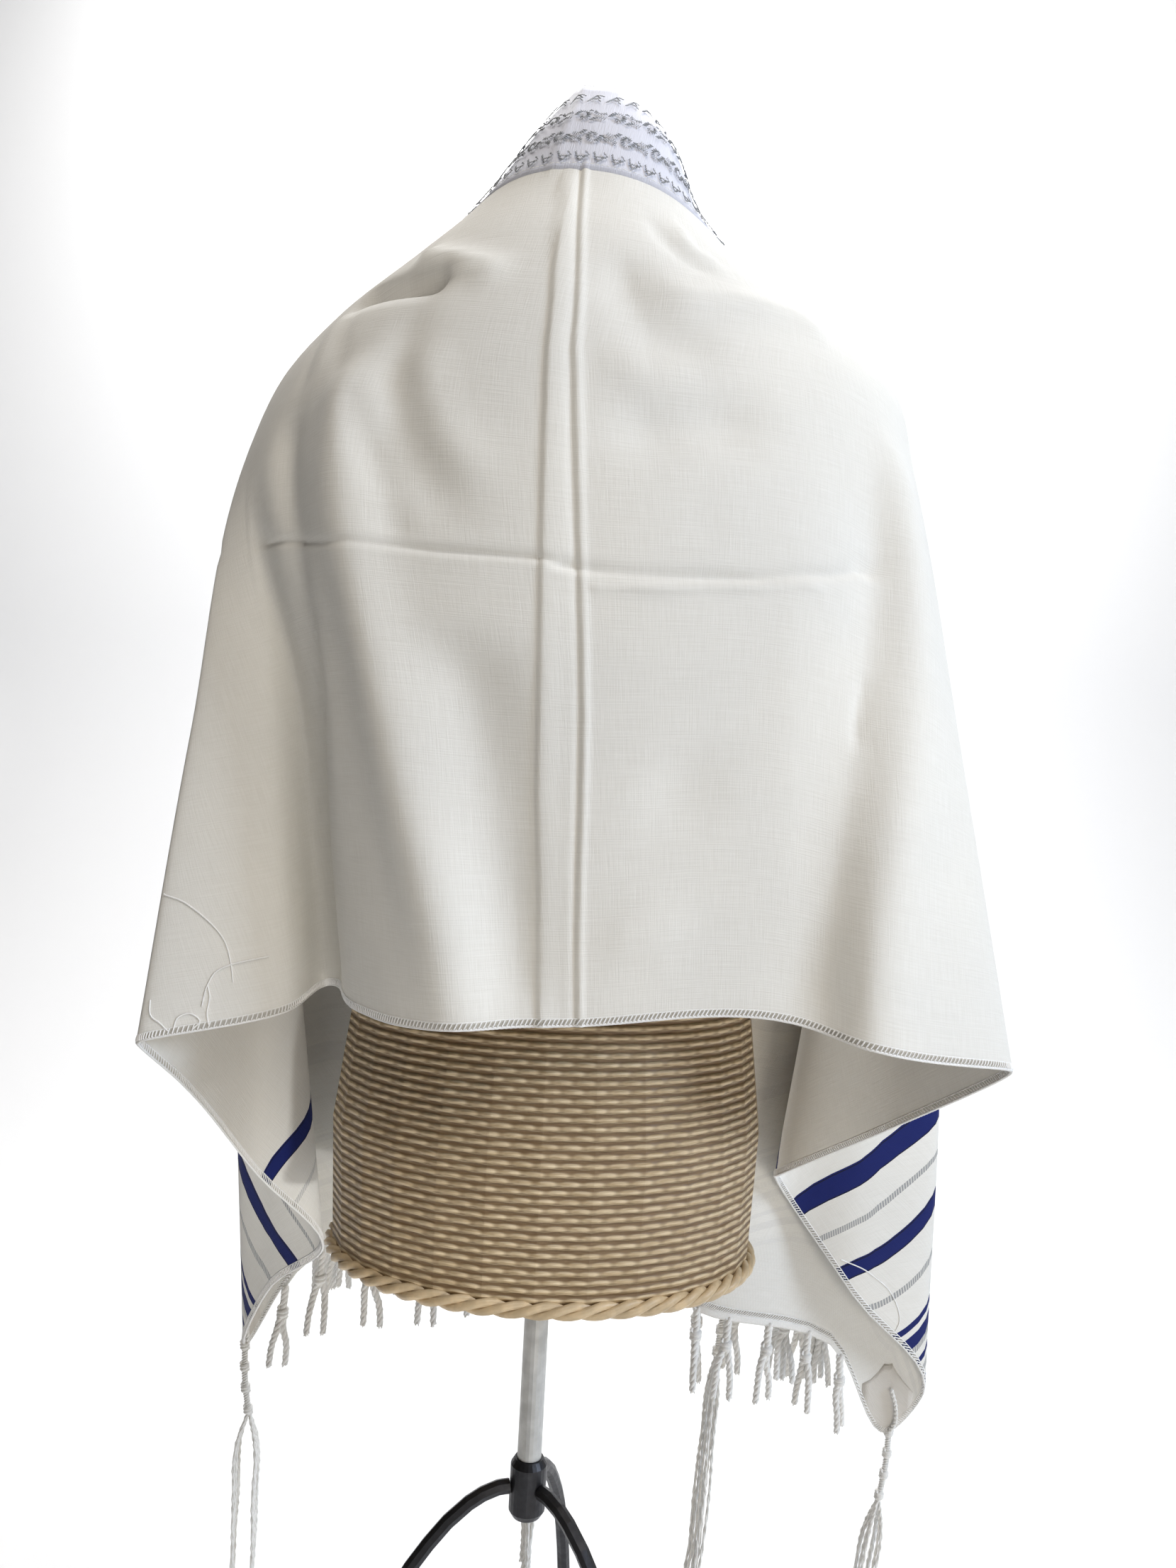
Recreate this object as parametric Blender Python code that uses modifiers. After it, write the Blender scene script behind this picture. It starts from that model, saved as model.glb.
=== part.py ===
"""A tallit prayer shawl draped over a limbless dress form on a tripod stand.

Metres, +Z up.  The origin is on the floor, in the middle of the width and depth of the whole.  The
back of the shawl faces -Y and its front +Y, so +X is the right hand side of someone wearing it.
Everything is worked out round the axis of the post, and moved to that origin last.

The shawl is one flat rectangle.  A place on it is given by "along", the distance from the centre
back towards the right hand end, and "down", the distance from the neck edge towards the hem.  Hung
up, it falls in hang lines: each starts on the knob of the dress form, runs down the slope of the
shoulders and drops to the hem or to a short end.  The cloth is the surface through those lines, and
all that lies on it or is sewn to it is made from its points.
"""
from collections import namedtuple
from math import cos, pi, radians, sin

import bmesh
import bpy
import numpy as np
from mathutils import Vector

# ---------------------------------------------------------------- driving sizes, metres
CUT_LENGTH = 1.83          # flat rectangle, short end to short end
CUT_WIDTH = 0.61           # flat rectangle, neck edge to hem
END = CUT_LENGTH / 2       # centre back to a short end
CLOTH_WALL = 0.0016
SEAM_GAP = 0.0003          # between two pieces that touch
ALMOST = 1e-6
WELD = 1e-5                # points of a strand closer than this are one
UP = Vector((0.0, 0.0, 1.0))

ATARA_WIDTH = 0.086        # neck band, neck edge to its lower edge
ATARA_REACH = 0.29         # half its length
ATARA_WALL = 0.0012

PATCH_SIDE = 0.050         # corner patches, square
PATCH_WALL = 0.0010

FRINGE_STRIP = 0.006       # woven heading that the tassels hang from
FRINGE_TASSELS = 12        # on each short end
FRINGE_INSET = 0.056       # first tassel from the corner of the cloth
FRINGE_GAP = 0.0010        # heading to the edge of the cloth, which twists at the pleats
TASSEL_LENGTH = 0.062      # strip to tip
TASSEL_KNOT_DROP = 0.019   # strip to the middle of the knot
TASSEL_KNOT_RADIUS = 0.0045
TASSEL_STEM_RADIUS = 0.0029
TASSEL_TAIL_RADIUS = 0.0026
TASSEL_END_SHARE = 0.7     # a tail's tip and the foot of a knot, to the size above
TASSEL_SHORTEST = 0.9      # the shortest tail to the longest
TASSEL_TAILS = 2
TASSEL_SPREAD = 0.0065     # how far the tails part
TASSEL_START_SHARE = 0.12  # how much of that spread they have inside the knot
TASSEL_MID_SHARE = 0.8     # and at half their length
TASSEL_SINK = 0.4          # how far a stem runs into the heading, in heights of the heading
TASSEL_LEAN = 0.06
FRINGE_MARGIN = 0.004      # first tassel from the end of the heading

TZITZIT_WOUND = 0.056      # wound part, from the corner to the last knot
TZITZIT_KNOTS = 3
TZITZIT_WOUND_RADIUS = 0.0024
TZITZIT_KNOT_RADIUS = 0.0040
TZITZIT_STRANDS = 8        # in two bunches
TZITZIT_STRAND_RADIUS = 0.0014
TZITZIT_STRAND_LENGTH = 0.230
STRAND_STEP = 0.03         # each strand of a bunch is so much shorter than the one before
STRAND_START = 0.10        # share of the bunches' spread that the strands leave the last knot with
STRAND_WIDEST = 1.15       # the same at half their length
STRAND_END = 0.7           # and at their ends
STRAND_BEND_AT = 0.1       # where the strands have opened out, in shares of their length
STRAND_THIN = 0.8          # radius of a strand's two ends to its middle
STRAND_PITCH = 0.0028      # strands of one bunch
# One row for each corner: how far the wound part and the strands hang to one side, how far each of
# the two bunches is from the middle, which way they part, in degrees from +X, and how far the
# strands' ends curl to one side.
Corner = namedtuple("Corner", "name kink sway apart turn curl")
CORNERS = [
    Corner("left_front", 0.000, 0.002, 0.0040, 60.0, 0.000),
    Corner("left_hem", 0.006, 0.002, 0.0070, 0.0, 0.004),
    Corner("right_hem", -0.006, -0.032, 0.0055, 20.0, -0.004),
    Corner("right_front", -0.004, -0.012, 0.0024, 35.0, 0.014),
]
CURL_SHARE = 0.08          # the part of a strand that curls

POST_FROM_MIDDLE = (-0.029, -0.032)    # axis of the post from the origin, x and y

KNOB_RADIUS = 0.0145
POST_RADIUS = 0.008
FOOT_RADIUS = 0.015
FOOT_HEIGHT = 0.010

# ---------------------------------------------------------------- the drape
# Rings of the shawl over the shoulders, top to bottom: width to the left and right, depth behind and
# in front of the form's axis, and height at the back, the two sides and the front.
Ring = namedtuple("Ring", "name left right behind before up_back up_left up_right up_front")
RINGS = [
    Ring("neck edge", 0.0165, 0.0160, 0.0120, 0.0160, 1.4325, 1.4345, 1.4350, 1.4270),
    Ring("neck slope", 0.0415, 0.0460, 0.0360, 0.0380, 1.3990, 1.4000, 1.4040, 1.3860),
    Ring("collar", 0.0785, 0.0720, 0.0560, 0.0570, 1.3500, 1.3480, 1.3480, 1.3350),
    Ring("yoke", 0.1150, 0.1160, 0.0800, 0.0760, 1.3040, 1.3140, 1.3065, 1.2880),
    Ring("shoulder slope", 0.1650, 0.1765, 0.0950, 0.0910, 1.2620, 1.2700, 1.2670, 1.2480),
    Ring("shoulder", 0.1975, 0.2035, 0.1030, 0.1000, 1.2280, 1.2300, 1.2410, 1.2160),
    Ring("shoulder drop", 0.2165, 0.2160, 0.1090, 0.1080, 1.1800, 1.1840, 1.1980, 1.1800),
]
SHOULDER = 5               # the ring where the cloth turns from sloping to hanging
FRONT_TURN = 150.0         # degrees round from the middle of the back to a front edge
CENTRE_SHIFT = 6.0         # degrees that the centre line of the cut leans to the left at the neck

# One row for each fold, from the left front edge round the back to the right front edge.
#   turn             where it crosses the shoulders, degrees round from the middle of the back
#   along, down      where it ends on the flat cut
#   out, fore, up    where it ends on the hung shawl (x, y, z)
#   bow              how far it stands out from the form at half its drop
#   soft             how round the fold is there; below 0, how sharp
HangLine = namedtuple("HangLine", "name turn along down out fore up bow soft")
HANG_LINES = [
    HangLine("left front edge", -150, -END, 0.000, -0.004, 0.172, 0.618, 0.000, 0.0),
    HangLine("left outer pleat", -132, -END, 0.185, -0.182, 0.182, 0.626, 0.000, 0.6),
    HangLine("left inner pleat", -119, -END, 0.370, -0.062, 0.138, 0.634, 0.000, 0.6),
    HangLine("left front slope", -111, -END, 0.505, -0.182, 0.158, 0.600, 0.000, 0.0),
    HangLine("left corner", -104, -END, CUT_WIDTH, -0.242, 0.190, 0.506, 0.016, 0.5),
    HangLine("left front face", -97, -0.810, CUT_WIDTH, -0.2113, 0.143, 0.576, 0.000, 0.0),
    HangLine("left side pleat", -90, -0.703, CUT_WIDTH, -0.1640, 0.100, 0.625, 0.000, 0.5),
    HangLine("left side", -84, -0.590, CUT_WIDTH, -0.1990, 0.040, 0.697, 0.000, 0.0),
    HangLine("left wing inside", -78, -0.430, CUT_WIDTH, -0.2275, -0.050, 0.784, 0.001, 0.0),
    HangLine("left wing", -76, -0.375, CUT_WIDTH, -0.2435, -0.080, 0.813, 0.003, -0.7),
    HangLine("left wing root", -70, -0.285, CUT_WIDTH, -0.1610, -0.056, 0.832, 0.000, 0.0),
    HangLine("left trough", -64, -0.232, CUT_WIDTH, -0.1500, -0.012, 0.840, -0.004, 0.6),
    HangLine("left back edge", -50, -0.140, CUT_WIDTH, -0.1130, -0.084, 0.840, 0.000, 0.0),
    HangLine("left back", -33, -0.093, CUT_WIDTH, -0.0860, -0.112, 0.839, 0.000, 0.0),
    HangLine("centre back", 0, 0.000, CUT_WIDTH, 0.0070, -0.118, 0.844, 0.000, 0.0),
    HangLine("right back", 34, 0.132, CUT_WIDTH, 0.1380, -0.111, 0.851, 0.000, 0.0),
    HangLine("right wing root", 54, 0.182, CUT_WIDTH, 0.1835, -0.120, 0.8395, 0.000, 0.0),
    HangLine("right wing", 76, 0.290, CUT_WIDTH, 0.2752, -0.080, 0.8236, 0.001, -0.6),
    HangLine("right side", 83, 0.430, CUT_WIDTH, 0.2300, 0.020, 0.757, 0.000, 0.0),
    HangLine("right side inside", 88, 0.590, CUT_WIDTH, 0.1670, 0.066, 0.708, 0.000, 0.3),
    HangLine("right side pleat", 92, 0.647, CUT_WIDTH, 0.1718, 0.104, 0.693, 0.000, 0.5),
    HangLine("right front face", 98, 0.775, CUT_WIDTH, 0.2430, 0.138, 0.594, 0.006, 0.0),
    HangLine("right front fold", 104, 0.860, CUT_WIDTH, 0.3131, 0.184, 0.494, 0.026, 0.6),
    HangLine("right corner", 107, END, CUT_WIDTH, 0.2920, 0.196, 0.459, 0.018, 0.4),
    HangLine("right front slope", 112, END, 0.525, 0.2340, 0.172, 0.545, 0.006, 0.0),
    HangLine("right inner pleat", 120, END, 0.365, 0.1180, 0.138, 0.586, 0.000, 0.6),
    HangLine("right outer pleat", 133, END, 0.185, 0.2340, 0.212, 0.556, 0.000, 0.6),
    HangLine("right front edge", 150, END, 0.000, 0.1480, 0.180, 0.578, 0.000, 0.0),
]
STEPS_ACROSS = 4           # columns of faces from one hang line to the next
FOLD_CLOSENESS = 1.8       # how much closer those columns stand beside a round fold
STEPS_ATARA = 3            # rows of faces under the neck band
STEPS_FALL = 8             # rows from there to the corner patches
STEPS_HEM = 2              # rows beside the corner patches
HEM_SHARE = 0.90           # the last rows start here where there is no patch
PATCH_LEAST = 0.012        # least length of a hang line under a patch
RAY_POINTS = 64            # points along a hang line, before it is shared out in rows

# ---------------------------------------------------------------- the dress form and its stand
# Sections of the torso from the open rim up: height, half width, half depth, and how far it leans
# to the front.
Section = namedtuple("Section", "name up half_width half_depth fore")
TORSO = [
    Section("rim", 0.6740, 0.1360, 0.1040, 0.000),
    Section("hip", 0.7600, 0.1400, 0.1060, 0.000),
    Section("below waist", 0.8500, 0.1290, 0.0980, 0.000),
    Section("waist", 0.9350, 0.1130, 0.0880, 0.000),
    Section("ribs", 1.0150, 0.1270, 0.0930, 0.004),
    Section("bust", 1.0950, 0.1450, 0.0980, 0.008),
    Section("chest", 1.1700, 0.1620, 0.0930, 0.004),
    Section("shoulder", 1.2240, 0.1770, 0.0850, 0.000),
    Section("shoulder top", 1.2530, 0.1690, 0.0740, 0.000),
    Section("shoulder slope", 1.2830, 0.1300, 0.0640, 0.000),
    Section("neck root", 1.3080, 0.0820, 0.0560, 0.000),
    Section("neck seat", 1.3240, 0.0560, 0.0480, 0.000),
]
TORSO_SIDES = 28
NECK_PROFILE = [(0.0000, 1.3980), (0.0285, 1.3980), (0.0342, 1.3925), (0.0358, 1.3800),
                (0.0390, 1.3500), (0.0450, 1.3243), (0.0000, 1.3243)]
KNOB_PROFILE = [(0.0000, 1.4330), (0.0060, 1.4322), (0.0095, 1.4290), (0.0130, 1.4230),
                (KNOB_RADIUS, 1.4160), (0.0125, 1.4090), (0.0110, 1.4040), (0.0150, 1.3983),
                (0.0000, 1.3983)]
HUB_RADIUS = 0.0120
HUB_PROFILE = [(0.0000, 0.5340), (0.0095, 0.5340), (HUB_RADIUS, 0.5300), (HUB_RADIUS, 0.5000),
               (0.0095, 0.4960), (0.0000, 0.4960)]
COLLAR_PROFILE = [(0.0000, 0.6737), (0.0330, 0.6737), (0.0340, 0.6680), (0.0150, 0.6600),
                  (0.0130, 0.6450), (0.0000, 0.6450)]
LEG_RADIUS = 0.0048
# The middle of a leg: distance from the post, and height.
LEG_POINTS = [(HUB_RADIUS + 2 * SEAM_GAP, 0.5160), (0.0200, 0.5157), (0.0390, 0.5075),
              (0.0640, 0.4840), (0.0850, 0.4540), (0.1030, 0.4100), (0.1170, 0.3500),
              (0.1310, 0.2800), (0.1480, 0.2100), (0.1710, 0.1400), (0.2010, 0.0800),
              (0.2300, 0.0460), (0.2480, 0.0280), (0.2500, 0.0180),
              (0.2500, FOOT_HEIGHT + 2 * SEAM_GAP)]
LEG_TURNS = (195.0, 315.0, 75.0)    # degrees from +X
LEG_STEPS = 2              # points between two of the leg's own

# ---------------------------------------------------------------- finishes: colour, rough, metal
FINISHES = {
    "ivory_cloth": ((0.86, 0.84, 0.79), 0.75, 0.0),
    "white_satin": ((0.84, 0.85, 0.90), 0.42, 0.0),
    "white_yarn": ((0.83, 0.81, 0.77), 0.80, 0.0),
    "wicker": ((0.56, 0.40, 0.22), 0.65, 0.0),
    "turned_wood": ((0.46, 0.31, 0.17), 0.50, 0.0),
    "dark_iron": ((0.10, 0.10, 0.10), 0.45, 0.8),
    "pale_post": ((0.62, 0.61, 0.58), 0.40, 0.6),
}


def clear_scene():
    """Start from an empty file."""
    for thing in list(bpy.data.objects):
        bpy.data.objects.remove(thing, do_unlink=True)


def make_finishes():
    """One Principled material for each finish."""
    made = {}
    for name, (colour, rough, metal) in FINISHES.items():
        material = bpy.data.materials.new(name)
        material.use_nodes = True
        shader = material.node_tree.nodes["Principled BSDF"]
        shader.inputs["Base Color"].default_value = (*colour, 1.0)
        shader.inputs["Roughness"].default_value = rough
        shader.inputs["Metallic"].default_value = metal
        made[name] = material
    return made


def add_mesh(name, shape, finish, shelf):
    """An object from a finished bmesh."""
    mesh = bpy.data.meshes.new(name)
    shape.to_mesh(mesh)
    shape.free()
    mesh.materials.append(finish)
    mesh.shade_smooth()
    thing = bpy.data.objects.new(name, mesh)
    shelf.objects.link(thing)
    return thing


# ---------------------------------------------------------------- curves through rows
def tangents(points, softness=None):
    """Direction of travel at each point, for a curve that passes through all of them."""
    steps = points[1:] - points[:-1]
    spans = np.linalg.norm(steps, axis=1)
    ways = steps / spans[:, None]
    middle = (ways[:-1] * spans[1:, None] + ways[1:] * spans[:-1, None])
    middle /= (spans[:-1] + spans[1:])[:, None]
    found = np.vstack([ways[:1], middle, ways[-1:]])
    if softness is not None:
        sizes = np.linalg.norm(found, axis=1)
        round_ones = np.maximum(sizes, softness) / np.maximum(sizes, 1e-9)
        wanted = np.where(softness < 0, 1 + softness, round_ones)
        found = found * wanted[:, None]
    return found, spans


def curve_point(points, ways, spans, index, share):
    """The place at a share of the way from one point of the curve to the next."""
    a, b = points[index], points[index + 1]
    va, vb = ways[index] * spans[index], ways[index + 1] * spans[index]
    s2, s3 = share * share, share ** 3
    return ((2 * s3 - 3 * s2 + 1) * a + (s3 - 2 * s2 + share) * va
            + (3 * s2 - 2 * s3) * b + (s3 - s2) * vb)


def even_slopes(values):
    """Slopes for a curve that never turns back between its values."""
    steps = np.diff(values)
    inner = 2 * steps[:-1] * steps[1:] / (steps[:-1] + steps[1:])
    return np.concatenate([steps[:1], inner, steps[-1:]])


# ---------------------------------------------------------------- the drape
def ring_point(ring, turn):
    """The point of a shoulder ring that is so many degrees round from the middle of the back."""
    angle = radians(turn)
    width = ring.right if turn > 0 else ring.left
    depth, up_middle = (ring.behind, ring.up_back) if abs(turn) < 90 else (ring.before, ring.up_front)
    up_side = ring.up_right if turn > 0 else ring.up_left
    up = up_side + (up_middle - up_side) * cos(angle) ** 2
    return np.array([width * sin(angle), -depth * cos(angle), up])


def hang_line(turn, end, bow, cut_end):
    """One hang line: its points on the hung shawl and on the flat cut, and its shares of length."""
    rings = [ring_point(ring, turn) for ring in RINGS]
    last = rings[-1]
    away = np.array([sin(radians(turn)), -cos(radians(turn)), 0.0])
    middle = (last + end) / 2 + away * bow
    knots = np.array(rings + [middle, end])
    ways, spans = tangents(knots)
    points, shoulder_at = [], 0
    per_span = RAY_POINTS // (len(knots) - 1)
    for index in range(len(knots) - 1):
        if index == SHOULDER:
            shoulder_at = len(points)
        points += [curve_point(knots, ways, spans, index, step / per_span)
                   for step in range(per_span)]
    points.append(end)
    points = np.array(points)
    length = np.concatenate([[0.0], np.cumsum(np.linalg.norm(np.diff(points, axis=0), axis=1))])
    # On the flat cut the line starts on the neck edge, and leaves it at its own angle.
    quarter = 90.0 * turn / FRONT_TURN
    fan = radians(quarter + CENTRE_SHIFT * cos(radians(quarter)))
    cut_start = np.array([RINGS[0].left * radians(turn), 0.0])
    reach = length[shoulder_at]
    cut_shoulder = cut_start + reach * np.array([sin(fan), cos(fan)])
    cut = np.empty((len(points), 2))
    share = np.minimum(length / reach, 1.0)[:, None]
    cut[:] = cut_start + (cut_shoulder - cut_start) * share
    rest = np.clip((length - reach) / (length[-1] - reach), 0.0, 1.0)[:, None]
    cut += (np.asarray(cut_end) - cut_shoulder) * rest
    return points, cut, length / length[-1]


def closer_to_folds(share, fold_at_start, fold_at_end):
    """A share of the way between two hang lines, moved towards the folds at its ends."""
    if fold_at_start and fold_at_end:
        near = 0.5 * (2 * min(share, 1 - share)) ** FOLD_CLOSENESS
        return near if share < 0.5 else 1 - near
    if fold_at_start:
        return share ** FOLD_CLOSENESS
    if fold_at_end:
        return 1 - (1 - share) ** FOLD_CLOSENESS
    return share


def hang_line_fan(steps):
    """Every hang line of the shawl, with so many steps from one row of the table to the next."""
    ends = np.array([(row.out, row.fore, row.up) for row in HANG_LINES])
    ways, spans = tangents(ends, np.array([row.soft for row in HANG_LINES]))
    turns = np.array([row.turn for row in HANG_LINES], float)
    slopes = even_slopes(turns)
    lines = []
    for index in range(len(HANG_LINES) - 1):
        row, after = HANG_LINES[index], HANG_LINES[index + 1]
        final = index == len(HANG_LINES) - 2
        stops = [closer_to_folds(step / steps, row.soft > 0, after.soft > 0)
                 for step in range(steps + (1 if final else 0))]
        if min(row.down, after.down) < ALMOST < max(row.down, after.down):
            edge = abs(PATCH_SIDE - row.down) / abs(after.down - row.down)
            nearest = min(range(1, steps), key=lambda step: abs(stops[step] - edge))
            stops[nearest] = edge
        for share in stops:
            ease = share * share * (3 - 2 * share)
            s2, s3 = share * share, share ** 3
            turn = ((2 * s3 - 3 * s2 + 1) * turns[index] + (s3 - 2 * s2 + share) * slopes[index]
                    + (3 * s2 - 2 * s3) * turns[index + 1] + (s3 - s2) * slopes[index + 1])
            end = curve_point(ends, ways, spans, index, share)
            bow = row.bow + (after.bow - row.bow) * ease
            along = row.along + (after.along - row.along) * share
            down = row.down + (after.down - row.down) * share
            lines.append(hang_line(turn, end, bow, (along, down)))
    return lines


def first_share(cut, shares, inside):
    """Where a hang line leaves a region of the flat cut, in shares of the line's length."""
    left = inside(cut)
    if (left > 0).all():
        return 1.0
    index = int(np.argmax(left <= 0))
    if index == 0:
        return 0.0
    part = left[index - 1] / (left[index - 1] - left[index])
    return float(shares[index - 1] + (shares[index] - shares[index - 1]) * part)


def in_band(cut):
    """How far inside the neck band places on the flat cut lie."""
    return np.minimum(ATARA_WIDTH - cut[:, 1], ATARA_REACH - np.abs(cut[:, 0]))


def in_patch(cut):
    """How far inside a corner patch places on the flat cut lie."""
    from_edge = np.minimum(cut[:, 1], CUT_WIDTH - cut[:, 1])
    return np.minimum(np.abs(cut[:, 0]) - (END - PATCH_SIDE), PATCH_SIDE - from_edge)


def sheet_grid():
    """Rows and columns of the hung cloth: places, places on the flat cut, and the patch columns."""
    places, cuts, patched = [], [], []
    for points, cut, shares in hang_line_fan(STEPS_ACROSS):
        band = first_share(cut, shares, in_band)
        hem = first_share(cut, shares, lambda some: -in_patch(some) - ALMOST)
        length = np.linalg.norm(np.diff(points, axis=0), axis=1).sum()
        patched.append((1 - hem) * length > PATCH_LEAST)
        if not patched[-1]:
            hem = HEM_SHARE
        knots = np.concatenate([
            np.linspace(0.0, band, STEPS_ATARA + 1),
            np.linspace(band, hem, STEPS_FALL + 1)[1:],
            np.linspace(hem, 1.0, STEPS_HEM + 1)[1:]])
        places.append(np.column_stack([np.interp(knots, shares, points[:, k]) for k in range(3)]))
        cuts.append(np.column_stack([np.interp(knots, shares, cut[:, k]) for k in range(2)]))
    return np.array(places), np.array(cuts), patched


def make_sheet(name, places, wall, offset, finish, shelf):
    """A wall of cloth: a grid laid through the places, made solid."""
    columns, rows = places.shape[:2]
    shape = bmesh.new()
    bmesh.ops.create_grid(shape, x_segments=columns - 1, y_segments=rows - 1)
    shape.verts.ensure_lookup_table()
    for index, vertex in enumerate(shape.verts):
        vertex.co = places[index % columns, index // columns]
    bmesh.ops.reverse_faces(shape, faces=shape.faces)
    thing = add_mesh(name, shape, finish, shelf)
    solid = thing.modifiers.new("wall", "SOLIDIFY")
    solid.thickness = wall
    solid.offset = offset
    return thing


def sheet_normals(sheet, columns):
    """Outward direction at each place of a sheet, in its columns and rows."""
    normals = np.array([vertex.normal for vertex in sheet.data.vertices])
    return normals.reshape(-1, columns, 3).transpose(1, 0, 2)


def make_atara(places, normals, finish, shelf):
    """The neck band, on the outside of the neck edge."""
    rows = slice(0, STEPS_ATARA + 1)
    base = places[:, rows] + normals[:, rows] * (CLOTH_WALL / 2 + SEAM_GAP)
    make_sheet("atara_neck_band", base, ATARA_WALL, 1.0, finish, shelf)


def make_patches(places, normals, patched, finish, shelf):
    """The square patches inside the four corners."""
    starts = [k for k in range(len(patched)) if patched[k] and not (k and patched[k - 1])]
    rows = slice(STEPS_ATARA + STEPS_FALL, None)
    for row, start in zip(CORNERS, starts):
        stop = start
        while stop < len(patched) and patched[stop]:
            stop += 1
        base = places[start:stop, rows] - normals[start:stop, rows] * (CLOTH_WALL / 2 + SEAM_GAP)
        make_sheet(row.name + "_patch", base, PATCH_WALL, -1.0, finish, shelf)


# ---------------------------------------------------------------- fringe and corner tassels
def new_strands(name, sharpness):
    """A curve that gathers strands, whose points hold their own radius in metres."""
    curve = bpy.data.curves.new(name, "CURVE")
    curve.dimensions = "3D"
    curve.bevel_depth = 1.0
    curve.bevel_resolution = sharpness
    curve.use_fill_caps = True
    return curve


def add_strand(curve, path, radii):
    """One strand of the curve, along a path."""
    spline = curve.splines.new("POLY")
    spline.points.add(len(path) - 1)
    for point, place, radius in zip(spline.points, path, radii):
        point.co = (*place, 1.0)
        point.radius = radius


def closed_strands(curve, finish, shelf):
    """The curve as a mesh whose caps are welded on."""
    guide = bpy.data.objects.new(curve.name, curve)
    shelf.objects.link(guide)
    found = guide.evaluated_get(bpy.context.evaluated_depsgraph_get())
    shape = bmesh.new()
    shape.from_mesh(bpy.data.meshes.new_from_object(found))
    bmesh.ops.remove_doubles(shape, verts=shape.verts, dist=WELD)
    bmesh.ops.recalc_face_normals(shape, faces=shape.faces)
    bpy.data.objects.remove(guide)
    return add_mesh(curve.name, shape, finish, shelf)


def fuse(base, strands):
    """Join strands to the piece that carries them, as one body."""
    strands.hide_render = True
    strands.display_type = "WIRE"
    union = base.modifiers.new("strands", "BOOLEAN")
    union.operation = "UNION"
    union.use_self = True
    union.object = strands


def add_tassel(curve, root, draws):
    """One knotted tassel: a stem, its knot and the tails below it."""
    lean = Vector((*draws.uniform(-TASSEL_LEAN, TASSEL_LEAN, 2), 0.0))
    way = (lean - UP).normalized()
    knot = root + way * TASSEL_KNOT_DROP
    half = way * TASSEL_KNOT_RADIUS
    add_strand(curve, (root - way * FRINGE_STRIP * TASSEL_SINK, knot - half, knot, knot + half),
               (TASSEL_STEM_RADIUS, TASSEL_STEM_RADIUS, TASSEL_KNOT_RADIUS,
                TASSEL_STEM_RADIUS * TASSEL_END_SHARE))
    first = draws.uniform(0.0, pi)
    drop = way * (TASSEL_LENGTH - TASSEL_KNOT_DROP)
    for tail in range(TASSEL_TAILS):
        angle = first + 2 * pi * tail / TASSEL_TAILS
        apart = Vector((cos(angle), sin(angle), 0.0)) * TASSEL_SPREAD
        add_strand(curve, (knot + apart * TASSEL_START_SHARE,
                           knot + apart * TASSEL_MID_SHARE + drop / 2,
                           knot + apart + drop * draws.uniform(TASSEL_SHORTEST, 1.0)),
                   (TASSEL_TAIL_RADIUS * STRAND_THIN, TASSEL_TAIL_RADIUS,
                    TASSEL_TAIL_RADIUS * TASSEL_END_SHARE))


def make_fringe(name, places, cuts, columns, seed, finish, shelf, cutters):
    """The fringe of one short end: a narrow heading beyond the edge, and its knotted tassels."""
    edge = places[columns, -1]
    way = edge - places[columns, -2]
    way /= np.linalg.norm(way, axis=1, keepdims=True)
    rows = np.stack([edge + way * FRINGE_GAP, edge + way * (FRINGE_GAP + FRINGE_STRIP)], axis=1)
    heading = make_sheet(name, rows, CLOTH_WALL, 0.0, finish, shelf)
    down = cuts[columns, -1, 1]
    order = np.argsort(down)
    draws = np.random.default_rng(seed)
    curve = new_strands(name + "_strands", 0)
    for place in np.linspace(down.min() + FRINGE_MARGIN, down.max() - FRINGE_MARGIN, FRINGE_TASSELS):
        root = Vector([np.interp(place, down[order], rows[order, 1, k]) for k in range(3)])
        add_tassel(curve, root, draws)
    fuse(heading, closed_strands(curve, finish, cutters))


def make_tzitzit(row, corner, finish, shelf, cutters):
    """A corner tassel: the wound and knotted part, and its eight strands in two bunches."""
    name = row.name + "_tzitzit"
    top = Vector(corner) - UP * SEAM_GAP
    foot = top + Vector((row.kink, 0.0, -TZITZIT_WOUND))
    knot_half = TZITZIT_KNOT_RADIUS / TZITZIT_WOUND
    path, radii = [top], [TZITZIT_WOUND_RADIUS]
    for knot in range(TZITZIT_KNOTS):
        middle = (knot + 1) / TZITZIT_KNOTS - knot_half
        path += [top.lerp(foot, middle + side * knot_half) for side in (-1, 0, 1)]
        radii += [TZITZIT_WOUND_RADIUS, TZITZIT_KNOT_RADIUS, TZITZIT_WOUND_RADIUS]
    curve = new_strands(name, 2)
    add_strand(curve, path, radii)
    head = closed_strands(curve, finish, shelf)
    start = path[-2]
    across = Vector((cos(radians(row.turn)), sin(radians(row.turn)), 0.0))
    deep = Vector((-across.y, across.x, 0.0))
    curve = new_strands(name + "_strands", 0)
    middle_place = (TZITZIT_STRANDS / 2 - 1) / 2
    for strand in range(TZITZIT_STRANDS):
        bunch, place = (1, -1)[strand % 2], strand // 2
        bend = across * bunch * row.apart + deep * (place - middle_place) * STRAND_PITCH
        fall = Vector((row.sway, 0.0, 0.0)) - UP * TZITZIT_STRAND_LENGTH * (1.0 - STRAND_STEP * place)
        end = start + bend * STRAND_END + fall
        add_strand(curve, (start + bend * STRAND_START, start + bend + fall * STRAND_BEND_AT,
                           start + bend * STRAND_WIDEST + fall / 2,
                           end - fall * CURL_SHARE, end + Vector((row.curl, 0.0, 0.0))),
                   [TZITZIT_STRAND_RADIUS * size for size in (STRAND_THIN, 1.0, 1.0, 1.0, STRAND_THIN)])
    fuse(head, closed_strands(curve, finish, cutters))


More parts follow.
